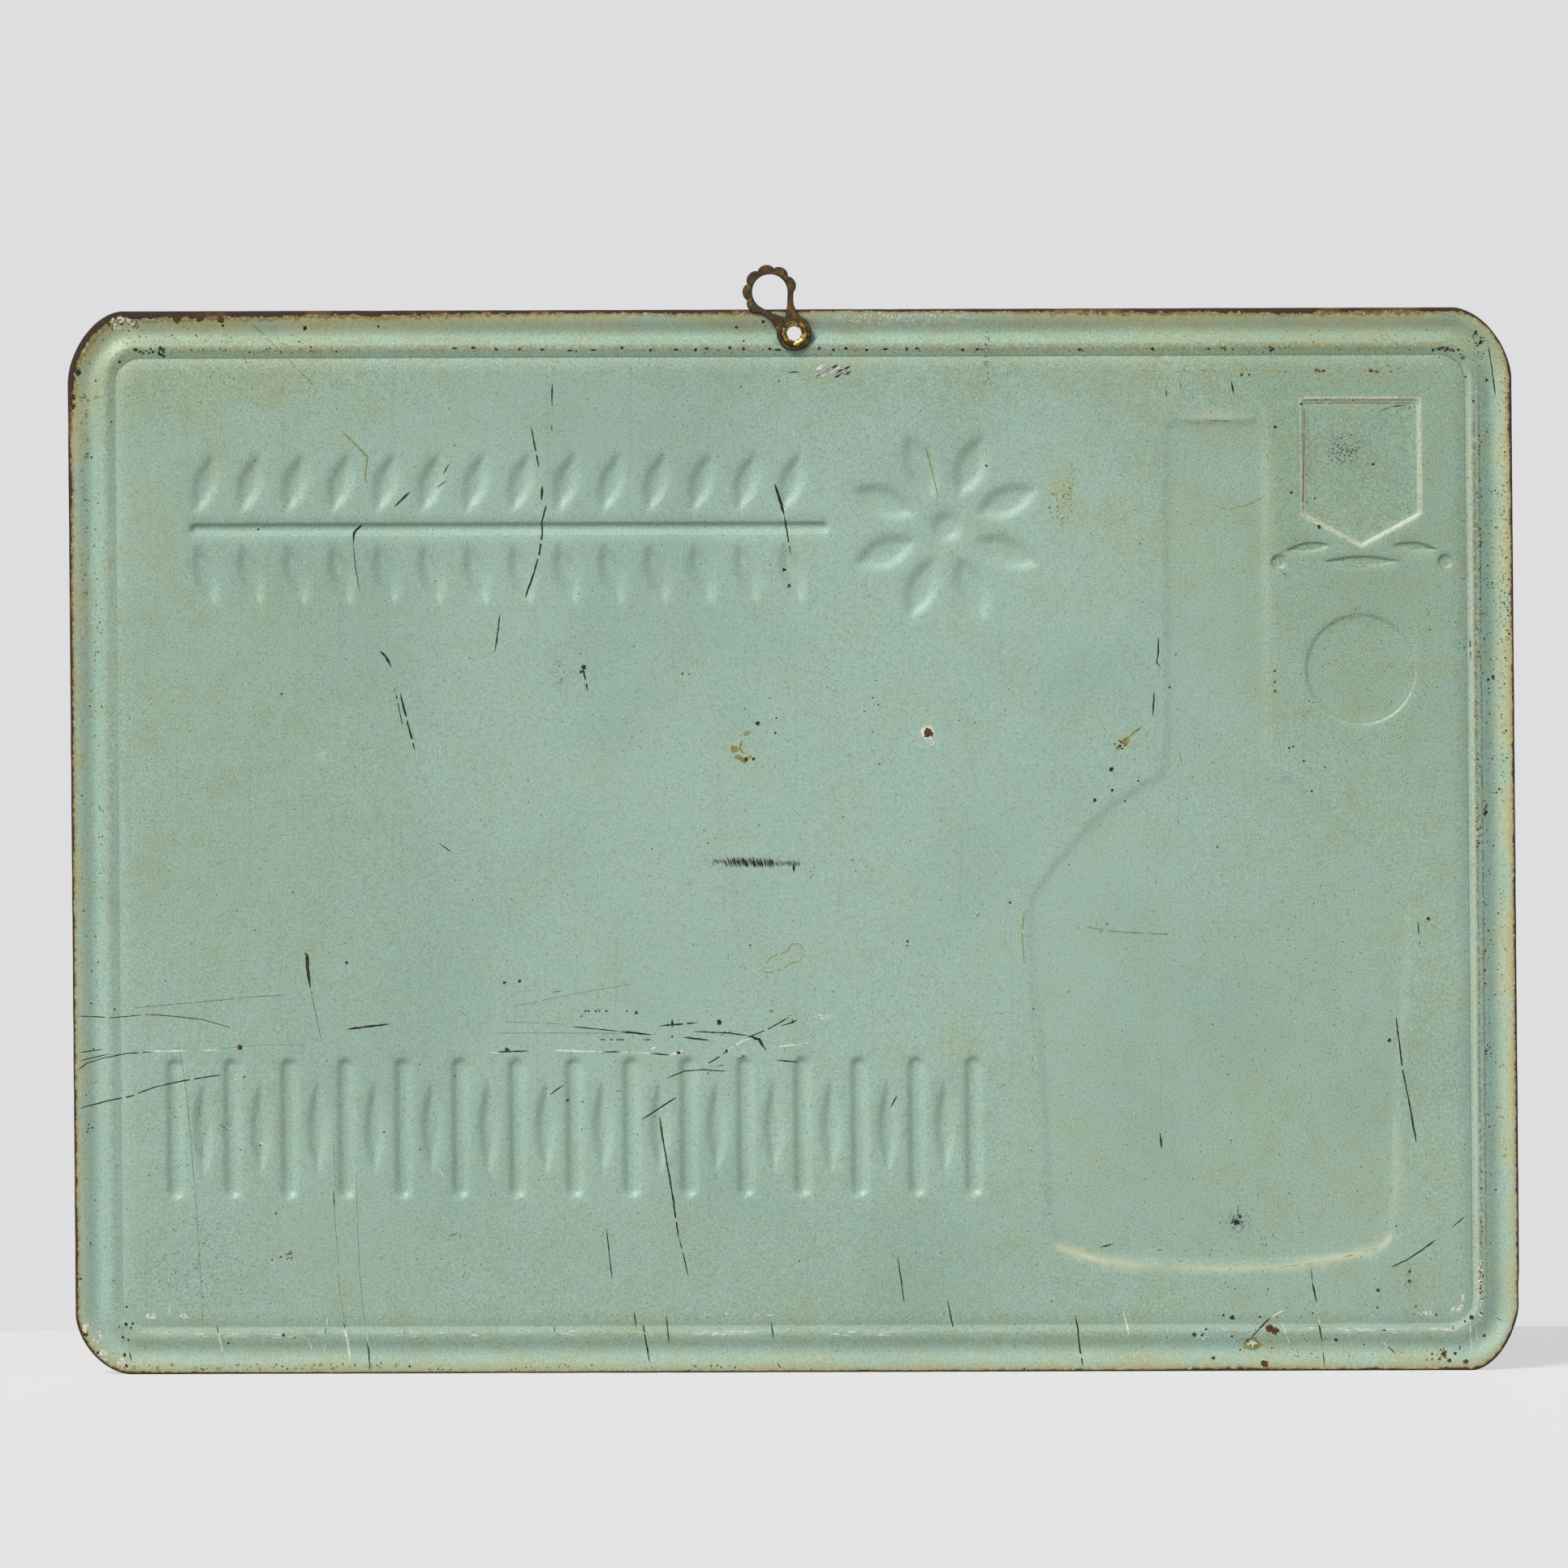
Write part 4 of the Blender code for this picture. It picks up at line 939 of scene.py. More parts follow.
SCRATCHES = (("dark", DARK_SCRATCHES, 0.04), ("pale", PALE_SCRATCHES, 0.04))
SCRATCHES += (("tan", TAN_SCRATCHES, 0.15),)
for kind, scratches, gaps in SCRATCHES:
    for width, *path in scratches:
        ribbon(kind, width, path, gaps)
for kind, squash, *chips in CHIPS:
    for x, y, radius in chips:
        chip(kind, x, y, radius, squash)
for x in RIDGE_PITS_X:
    shape = LONG_PIT if chance.random() < LONG_PITS else ROUND_PIT
    chip("dark", x, RIDGE_PITS_Y + chance.uniform(-2, 2), *shape)
for entry in SPECKLES:
    speckle(*entry)
print("polygons so far:", len(marks))

# %% The black scuff in the middle, the crumpled patch and the rubbed ridge
SCUFF = (878, 985, 1062)  # from x, to x, at y
SCUFF_TICKS, SCUFF_DROP, SCUFF_SLANT = 200, 2, 0.3
HEAVY_FROM, HEAVY_TO, HEAVY, LIGHT = 0.15, 0.70, 5.0, 2.6  # shares, half heights in pixels
CRUMPLES, CRUMPLED_X, CRUMPLED_Y = 44, (1004, 1042), (453, 467)
RUBBED_BELOW = (  # from x, to x, at y and how many dashes
    (480, 540, 1644, 8), (572, 591, 1644, 4), (678, 709, 1643, 5), (780, 807, 1643, 6),
    (852, 922, 1643, 24), (1022, 1046, 1643, 6), (1062, 1122, 1643, 12), (853, 957, 1620, 14),
    (193, 210, 1646, 3), (236, 252, 1646, 7), (263, 288, 1646, 12), (295, 302, 1646, 3),
    (312, 355, 1646, 8), (1594, 1611, 1639, 4), (1648, 1664, 1639, 5), (1667, 1690, 1639, 9),
    (1702, 1716, 1639, 6), (1754, 1788, 1638, 16),
)
# Where two long scratches hopped over the paint.
TICKS = [(x, 1246) for x in (721, 725, 734, 738, 747, 772)]
TICKS += [(x, 1281) for x in (741, 744, 753, 761, 764, 767, 793, 797, 800)]
for i in range(SCUFF_TICKS):
    share = i / (SCUFF_TICKS - 1)
    x = SCUFF[0] + (SCUFF[1] - SCUFF[0]) * share + chance.uniform(-1, 1)
    tall = (HEAVY if HEAVY_FROM < share < HEAVY_TO else LIGHT) * chance.uniform(0.4, 1.2)
    y = SCUFF[2] + chance.uniform(-2, 2) + SCUFF_DROP * share
    path = x - SCUFF_SLANT * tall, y - tall, x + SCUFF_SLANT * tall, y + tall
    ribbon("dark", chance.uniform(0.2, 0.4), path)
for x, y in TICKS:
    chip("dark", x, y, chance.uniform(0.28, 0.42), 0.8)
for left, right, y, count in RUBBED_BELOW:
    for _ in range(count):
        x, down = chance.uniform(left, right), chance.uniform(-3, 3)
        length = chance.uniform(3, 11)
        ribbon("pale", chance.uniform(0.15, 0.35), (x, y + down, x + length, y + down))
for _ in range(CRUMPLES):
    x, y = chance.uniform(*CRUMPLED_X), chance.uniform(*CRUMPLED_Y)
    kind = chance.choice(("bare", "dark", "bare", "pale"))
    ribbon(kind, chance.uniform(0.3, 0.7), (x, y, x + 8, y - 4))
print("marks in all:", len(marks))

# %% Leave out what would cross the cut edge or the hole
MARK_CLEARANCE, HOLE_RADIUS, HOLE_STEPS = 0.0003, 0.00265, 48
owners = np.repeat(np.arange(len(marks)), [len(points) for _, points in marks])
corners = np.array([point for _, points in marks for point in points])
gap = np.minimum(edge_distance(corners), np.linalg.norm(corners - EYELET, axis=1) - HOLE_RADIUS)
crossing = set(owners[gap < MARK_CLEARANCE].tolist())
marks = [mark for i, mark in enumerate(marks) if i not in crossing]
print("marks left out:", len(crossing))

# %% [markdown]
# ## The stains and the painted light
#
# Soft marks have no edge, so they are kept as a value on each point: how warm the green is,
# how far painted shade deepens it, how much tan stain, soot and chalky wear lies on it, and
# how far it is made pale, which is a painted highlight along the flask's lit walls and pale
# wear along the shield's top. The paint's material mixes them in. Each is a round or long
# cloud with a place and two half widths in pixels.

# %% Soft marks: a kind, a middle and two half widths in pixels, and a strength
SMALL_CLOUD = 30  # below this half width a cloud gets points of its own
SOFT_MARKS = (
    ("warm", 250, 455, 190, 50, 1.0), ("warm", 640, 420, 360, 36, 0.5),
    ("warm", 1500, 430, 420, 60, 0.75), ("warm", 1700, 660, 150, 330, 0.3),
    ("warm", 1420, 620, 130, 110, 0.4), ("warm", 180, 800, 90, 520, 0.3),
    ("warm", 1750, 1300, 120, 380, 0.25), ("warm", 1400, 1400, 260, 160, 0.2),
    ("warm", 900, 1640, 1000, 50, 0.3), ("stain", 1033, 452, 34, 12, 0.9),
    ("stain", 1020, 466, 20, 8, 0.6), ("stain", 888, 388, 30, 7, 1.0),
    ("stain", 1038, 402, 9, 7, 0.6), ("stain", 1057, 424, 10, 9, 0.6),
    ("stain", 1013, 444, 11, 9, 0.8), ("stain", 1053, 445, 11, 10, 0.8),
    # The deep marks are painted shade: a darker, greener tone towards the panel's edges, beside the
    # flask's neck and over the emblem column.
    ("deep", 330, 960, 230, 480, 0.55), ("deep", 1690, 640, 200, 360, 1.0),
    ("deep", 1584, 580, 18, 120, 0.5), ("deep", 1600, 1300, 260, 260, 0.4),
    ("deep", 900, 1580, 900, 130, 0.4), ("deep", 900, 440, 900, 110, 0.45),
    # The rubbed marks are painted highlights along the flask's lit walls and its mouth, and pale
    # wear along the shield's top.
    ("deep", 1640, 420, 200, 60, 0.3), ("rubbed", 1721, 1440, 6, 62, 0.32),
    ("rubbed", 1560, 640, 7, 120, 0.28), ("soot", 1500, 520, 44, 2.5, 0.5),
    ("rubbed", 1660, 493, 70, 4, 0.5), ("rubbed", 1500, 514, 34, 3.5, 0.8),
    ("stain", 1315, 620, 20, 34, 0.55), ("stain", 1148, 580, 9, 30, 0.4),
    ("stain", 150, 400, 34, 18, 0.9), ("stain", 110, 430, 16, 60, 0.7),
    ("stain", 1542, 1655, 9, 5, 0.9), ("stain", 1335, 1285, 26, 46, 0.25),
    ("stain", 350, 405, 40, 70, 0.35), ("stain", 1640, 420, 160, 22, 0.6),
    ("stain", 1600, 457, 200, 5, 0.45), ("stain", 1390, 480, 60, 30, 0.25),
    ("stain", 1560, 850, 26, 60, 0.30), ("stain", 1390, 905, 14, 10, 0.5),
    ("stain", 1660, 1500, 90, 60, 0.30), ("stain", 1500, 530, 60, 16, 0.30),
    ("stain", 360, 1548, 30, 8, 0.5), ("stain", 1740, 1580, 30, 30, 0.35),
    ("stain", 1650, 640, 50, 26, 0.25), ("stain", 922, 924, 13, 12, 0.5),
    ("stain", 965, 1181, 26, 15, 0.5), ("stain", 192, 1252, 11, 10, 0.4),
    ("stain", 1388, 915, 18, 12, 0.6), ("stain", 784, 1230, 7, 7, 0.3),
    ("stain", 540, 560, 30, 26, 0.25), ("soot", 1660, 545, 26, 20, 0.5),
    ("soot", 1524, 1506, 16, 13, 0.9), ("soot", 932, 1062, 60, 6, 0.35),
    ("soot", 240, 1560, 80, 50, 0.16), ("soot", 1737, 1566, 5, 5, 0.8),
    ("soot", 1736, 1581, 6, 6, 0.7), ("soot", 1524, 1507, 8, 8, 0.6),
    ("soot", 883, 1062, 8, 3, 0.4), ("soot", 1215, 440, 5, 40, 0.5),
    ("soot", 198, 470, 5, 26, 0.5), ("soot", 1610, 560, 6, 60, 0.3),
    ("soot", 690, 824, 12, 26, 0.3), ("chalk", 397, 932, 10, 7, 0.6),
    ("chalk", 150, 399, 18, 9, 0.7), ("chalk", 1143.5, 904, 9, 9, 0.8),
    ("chalk", 890, 1643, 50, 4, 0.6), ("chalk", 1090, 1643, 40, 4, 0.5),
    ("chalk", 510, 1643, 40, 4, 0.4), ("chalk", 1795, 1622, 10, 20, 0.4),
    ("chalk", 1120, 395, 120, 8, 0.5), ("chalk", 208, 1646, 90, 3, 0.35),
    ("chalk", 1700, 1639, 90, 3, 0.35), ("chalk", 1822, 1600, 5, 40, 0.6),
)
print("soft marks:", len(SOFT_MARKS))

# %% [markdown]
# ## The fine mesh of the sheet
#
# All lines where the surface bends, all marks and an even grid of points go into one
# constrained triangulation. It keeps every line as an edge, so creases stay crisp, and
# the grid carries the slow waves and the stains between them. A leaf's middle line has
# points too, because its two walls meet there near the tips. The printed face has
# a coarser one of its own, without the marks. Both have the same points along the cut edge
# and round the hole, where they are joined.

# %% Gather points, lines and marks, and triangulate them
LOOP_STEP, CORNER_STEPS = 0.0038, 16
GRID, ROW = 0.0034, 0.866  # a step of the grid, and its rows' distance as a share of it
TROUGH_SHARES = np.linspace(0, 1, 14)
BACK_WALL, FACE_WALL = (0, 0.25, 0.5, 0.75, 1), (0, 0.5, 1)  # where a pressed wall has lines
SPINE_SHARES = np.linspace(0.02, 0.98, 25)  # where a leaf has points along its middle line
border_distances = [0, 0.0004, *(RIM + (RIDGE - RIM) * TROUGH_SHARES)]
border_distances += [RIDGE_END + (GROOVE - RIDGE_END) * share for share in (0, 0.15, 0.5, 0.9, 1)]
border_distances += [GROOVE + (PANEL - GROOVE) * share for share in (0.1, 0.3, 0.5, 0.75, 1)]

columns, rows = int(WIDTH / GRID), int(HEIGHT / GRID / ROW)
grid = []
for row in range(rows + 1):
    for column in range(columns + 1):
        x = (column + 0.5 * (row % 2) - columns / 2) * GRID
        y = (row - rows / 2) * GRID * ROW
        if max(abs(x) - WIDTH / 2, abs(y) - HEIGHT / 2) < -PANEL:
            grid.append(np.array((x, y)))
leaves = [piece.ends for piece in pressed if isinstance(piece, Leaf)]
grid += [base + (tip - base) * share for base, tip in leaves for share in SPINE_SHARES]
cloud_points = []
for _, x, y, half_width, half_height, _ in SOFT_MARKS:
    if max(half_width, half_height) < SMALL_CLOUD:
        for out in (0.5, 1.1):
            reach = np.array((half_width, half_height)) * out / PHOTO_PIXELS_PER_METRE
            cloud_points += [from_photo(x, y) + t * reach for t in circle(np.zeros(2), 1, 9)]


def loop_edges(first, count):
    """The edges of a closed loop, from the number of its first point."""
    return [(first + i, first + (i + 1) % count) for i in range(count)]


def triangulated(wall_shares, polygons, more):
    """The sheet's flat mesh: its points, its triangles and the polygons each is part of."""
    loops = [border_loop(distance, LOOP_STEP, CORNER_STEPS) for distance in border_distances]
    for piece in pressed:
        loops += [piece.loop(piece.wall * share) for share in wall_shares]
    for radius in (*(SEAT_RADIUS + SEAT_SLOPE * share for share in (0, 0.5, 1)), HOLE_RADIUS):
        loops.append(circle(EYELET, radius, HOLE_STEPS))
    places, edges, faces = [], [], []
    for loop in loops:
        edges += loop_edges(len(places), len(loop))
        places += loop
    for points in polygons:
        faces.append(list(range(len(places), len(places) + len(points))))
        places += points
    places += grid + more
    found = delaunay_2d_cdt([Vector(place) for place in places], edges, faces, 0, 1e-6)
    spots = np.array([tuple(place) for place in found[0]])
    middles = np.array([spots[list(face)].mean(0) for face in found[2]])
    solid = np.linalg.norm(middles - EYELET, axis=1) > HOLE_RADIUS * 0.99
    skin = [tuple(face) for face, keep in zip(found[2], solid) if keep]
    return spots, skin, [inside for inside, keep in zip(found[5], solid) if keep]


def outward(spots, face):
    """The triangle's corners in the order that turns it to the painted side."""
    a, b, c = spots[list(face)]
    turn = (b[0] - a[0]) * (c[1] - a[1]) - (b[1] - a[1]) * (c[0] - a[0])
    return tuple(face) if turn > 0 else tuple(face[::-1])


polygons = [points for _, points in marks]
back_spots, back_skin, within = triangulated(BACK_WALL, polygons, cloud_points)
face_spots, face_skin, _ = triangulated(FACE_WALL, [], [])
spots = np.vstack((back_spots, face_spots))
print("triangles of the back:", len(back_skin), "of the face:", len(face_skin))

# %% Soft marks as values on the points
# The flask's foot, where a painted highlight runs pale along its bottom wall, which faces the lamp.
FOOT_HIGHLIGHT = ((1301, 1536), (1355, 1553), (1431, 1563), (1508, 1564.5), (1584, 1561))
FOOT_HIGHLIGHT += ((1661, 1547), (1688, 1541), (1704, 1534), (1713, 1524))
FOOT_HIGHLIGHT_WIDTH = 0.0010
SUMMED = ("warm", "deep")  # these add up where clouds overlap, of the others the strongest counts
softness = {kind: np.zeros(len(spots)) for kind in (*SUMMED, "stain", "soot", "chalk", "rubbed")}
for kind, x, y, half_width, half_height, strength in SOFT_MARKS:
    away = (spots - from_photo(x, y)) * PHOTO_PIXELS_PER_METRE / (half_width, half_height)
    cloud = strength * np.exp(-(away**2).sum(1))
    joined = softness[kind] + cloud if kind in SUMMED else np.maximum(softness[kind], cloud)
    softness[kind] = joined
foot = [from_photo(*spot) for spot in FOOT_HIGHLIGHT]
for a, b in zip(foot, foot[1:]):
    cloud = np.exp(-((segment_gap(spots, a, b) / FOOT_HIGHLIGHT_WIDTH) ** 2))
    softness["rubbed"] = np.maximum(softness["rubbed"], cloud)
print("strongest stain:", round(float(softness["stain"].max()), 2))

# %% [markdown]
# ## From a surface to a sheet
#
# The painted back is one skin and the printed face the same skin 0.3 mm behind it. The
# cut edge and the hole's edge join them. The edge of old tin isn't ruler straight,
# so the outermost points are drawn in by up to a tenth of a millimetre, and by
# four tenths at the one nick in the right edge.

# %% How wide the bare margin is: a pixel along the side and a width in millimetres
BARE_TOP = ((90, 2.6), (180, 3.0), (300, 2.7), (360, 2.3), (500, 2.4), (600, 1.7), (780, 1.2))
BARE_TOP += ((840, 1.5), (900, 1.9), (960, 1.3), (1020, 0.8), (1200, 1.0), (1320, 1.7))
BARE_TOP += ((1400, 2.0), (1680, 2.1), (1740, 2.2), (1790, 1.4), (1830, 0.8))
BARE_BOTTOM = ((100, 1.0), (180, 0.9), (300, 0.5), (700, 0.5), (1200, 0.6), (1320, 0.7))
BARE_BOTTOM += ((1400, 0.6), (1500, 1.1), (1620, 0.7), (1740, 0.7), (1800, 1.0), (1860, 0.7))
BARE_LEFT = ((400, 3.3), (450, 2.8), (490, 2.0), (540, 0.9), (600, 1.2))
BARE_LEFT += ((1100, 0.9), (1200, 0.7), (1640, 1.0))
BARE_RIGHT = ((400, 0.8), (440, 0.9), (490, 1.4), (560, 0.8), (1500, 0.75), (1640, 0.65))
BARE = (BARE_TOP, BARE_BOTTOM, BARE_LEFT, BARE_RIGHT)
# How dark the painted shade line round the panel is, how worn the ridge is, how yellow the
# edge has gone and how brown the two lines beside the ridge are, each from 0 to 1. Where the
# two lines are brown, the crest of the groove beside them gets a dull cream painted highlight.
GROOVE_SHADE = (((0, 1.0),), ((0, 0.1),), ((0, 0.25),), ((0, 0.9),))
RIDGE_WEAR = (((0, 1.0),), ((0, 0.25),), ((0, 0.4),), ((500, 0.4), (620, 0.6), (1500, 0.6)))
YELLOW_TOP = ((300, 1.0), (800, 0.8), (900, 0.25), (1250, 0.25), (1400, 0.9))
YELLOW_TOP += ((1700, 0.8), (1800, 0.3))
YELLOW_LEFT = ((400, 0.6), (500, 1.0), (620, 0.4))
YELLOW_RIGHT = ((430, 0.3), (560, 1.0), (1380, 0.9), (1500, 0.45), (1640, 0.4))
YELLOWING = (YELLOW_TOP, ((0, 0.55),), YELLOW_LEFT, YELLOW_RIGHT)
NO_LINE = ((0, 0.0),)
BROWN_LINES_AND_HIGHLIGHT = (NO_LINE, NO_LINE, NO_LINE, ((450, 0.2), (540, 1.0), (1400, 0.9), (1640, 0.5)))
print("bare margin at the middle of the top, mm:", by_side(np.array(((0.0, HEIGHT / 2),)), *BARE))

# %% Lift the points, close the sheet and give each face its kind
NICK, NICK_DEPTH, NICK_REACH = from_photo(1872, 1593), 0.0004, 0.003  # in the right edge
UNEVEN_DEPTH, UNEVEN_LENGTH, UNEVEN_REACH = 0.00012, 0.006, 0.003  # of the cut edge
SOLID_SHARE = 0.6  # of the bare margin, the rest of it is crust
distances = edge_distance(spots)
heights = sheet_height(spots, distances)
ragged = np.array([noise.noise(Vector((x, y, 3.0)) / UNEVEN_LENGTH) for x, y in spots])
nick = NICK_DEPTH * np.exp(-((np.linalg.norm(spots - NICK, axis=1) / NICK_REACH) ** 2))
draw_in = (UNEVEN_DEPTH * np.abs(ragged) + nick) * np.clip(1 - distances / UNEVEN_REACH, 0, 1)
drawn = spots * (1 - draw_in / np.linalg.norm(spots, axis=1))[:, None]
count = len(back_spots)
points = laid(drawn, heights)
points[count:] += (0, THICKNESS, 0)


def open_edges(skin):
    """The edges that only one triangle has, in that triangle's direction."""
    used = {(a, b) for face in skin for a, b in zip(face, face[1:] + face[:1])}
    return [(a, b) for a, b in used if (b, a) not in used]


def on_points(mesh, name, values):
    """Keeps a value on each point, for a material to read."""
    layer = mesh.attributes.new(name, "FLOAT", "POINT")
    layer.data.foreach_set("value", np.array(values, np.float32))


back_skin = [outward(spots, face) for face in back_skin]
face_skin = [outward(face_spots, face)[::-1] for face in face_skin]
rim = open_edges(back_skin)
open_points = np.array(sorted({a for edge in open_edges(face_skin) for a in edge}))
partner = {}
for a in {a for edge in rim for a in edge}:
    gaps = np.linalg.norm(face_spots[open_points] - spots[a], axis=1)
    partner[a] = count + int(open_points[gaps.argmin()])
rim = [(b, a, partner[a], partner[b]) for a, b in rim]
face_skin = [tuple(i + count for i in face) for face in face_skin]
kinds = [MARK_KINDS.index(marks[max(inside)][0]) if inside else 0 for inside in within]
FRONT, EDGE = len(MARK_KINDS), len(MARK_KINDS) + 1

faces = back_skin + face_skin + rim
sheet, sheet_mesh = built("painted_sheet", "sheet", points.tolist(), faces, flat=len(rim))
slots = kinds + [FRONT] * len(face_skin) + [EDGE] * len(rim)
sheet_mesh.polygons.foreach_set("material_index", slots)
uses = {}
for polygon in sheet_mesh.polygons:
    for edge in polygon.edge_keys:
        uses[edge] = uses.get(edge, 0) + 1
print("edges without two faces:", sum(1 for number in uses.values() if number != 2))
margin = by_side(spots, *BARE)
creases = [np.abs(piece.inside(spots) - piece.wall) for piece in disc()]
creases += [np.abs(piece.inside(spots) - piece.wall / 4) for piece in scroll()]
measured = {
    "edge_mm": 1000 * distances,
    "bare_mm": 1000 * distances - margin,
    "solid_mm": 1000 * distances - SOLID_SHARE * margin,
    "margin_mm": margin,
    "panel_line": by_side(spots, *GROOVE_SHADE),
    "ridge_wear": by_side(spots, *RIDGE_WEAR),
    "yellowing": by_side(spots, *YELLOWING),
    "brown_lines": by_side(spots, *BROWN_LINES_AND_HIGHLIGHT),
    "shield_mm": 1000 * shield()[0].inside(spots),
    "crease_mm": 1000 * np.min(creases, axis=0),
}
for name, pieces in (("band_mm", bands), ("emblem_mm", emblems), ("flask_mm", flask())):
    measured[name] = 1000 * np.max([piece.inside(spots) for piece in pieces], axis=0)
for name, values in (*measured.items(), *softness.items()):
    on_points(sheet_mesh, name, values)
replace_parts(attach(sheet, "sign"), "tin_sheet")
print("sheet triangles:", len(back_skin) + len(face_skin) + 2 * len(rim))

# %% [markdown]
# ## Sea-green enamel
#
# The back has one coat of stoved oil enamel, sprayed and baked on the tin. It is a plain
# dielectric with an IOR of 1.5, and its satin has gone dull, so its roughness is high
# for enamel. Age gave it the rest: broad clouds of slightly different green, a grain
# of half a millimetre from the spray, thousands of pinholes of rust, fine upright
# wipe marks, a yellowed band along the border, two brown lines on its right side, and a
# bare rusty margin at the cut edge. Painted light is mixed into the same colour: painted
# shade darkens the green towards the panel's edges and over the emblem column, and draws
# dark lines along the border's groove and round the disc and the scroll. Painted
# highlights lighten the crest beside the brown lines, the flask's lit walls and the shield's wall.

# %% Sea-green enamel
COOL, WARM, DEEP, SHADED = "#96B2A4", "#9BAA85", "#88A598", "#859F88"
PINHOLE_AND_SHADE, SPECK, TAN, OCHRE = "#444A40", "#7A8776", "#9E9A68", "#96915F"
SOOT, CHALK, PALE_WEAR_AND_HIGHLIGHT, YELLOWED = "#555A52", "#C9CFC0", "#BFC3A2", "#B7BD9B"
RIDGE_WORN, CREAM_WEAR_AND_HIGHLIGHT, RUST_DARK, RUST_WARM = "#857C50", "#C8C5AC", "#32210F", "#5F4527"
OLD_YELLOW, CRUST, CRUST_BROWN, BLOTCH = "#ABA775", "#85733F", "#6E4F28", "#8F9A72"
SCUFFED, CREST_HIGHLIGHT = "#5E5040", "#BDB79A"


def attribute(tree, name):
    """What was kept on the points under this name."""
    return add(tree, "Attribute", attribute_name=name).outputs["Fac"]


def spread(tree, value, low, high, to_low, to_high):
    """The value carried from one span to another, straight and without overshoot."""
    spans = {"Value": value, "From Min": low, "From Max": high, "To Min": to_low, "To Max": to_high}
    return add(tree, "MapRange", spans).outputs[0]


def band(tree, value, low, high, soft):
    """1 between low and high, falling to 0 over the soft width on both sides."""
    rising = ramp(tree, value, low - soft, low)
    falling = ramp(tree, value, high + soft, high)
    return times(tree, rising, falling)


def layered(tree, tone, share, strength, code):
    """The colour with one more layer over it, at this strength where the share is 1."""
    return mix(tree, times(tree, share, strength), tone, colour(code))


def pinholes(tree, spacing, fewest, radius):
    """1 in a hole. A cell of this many millimetres has one if its chance beats the fewest.

    The fewest may be a socket, so that a stained place can have more of them.
    """
    place = add(tree, "TexCoord").outputs["Object"]
    cells = add(tree, "TexVoronoi", {"Vector": place, "Scale": 1000 / spacing})
    luck = add(tree, "SeparateColor", {0: cells.outputs["Color"]}).outputs[0]
    size = spread(tree, luck, fewest, 1.0, 0.0, radius / spacing)
    return sums(tree, "LESS_THAN", cells.outputs["Distance"], size)


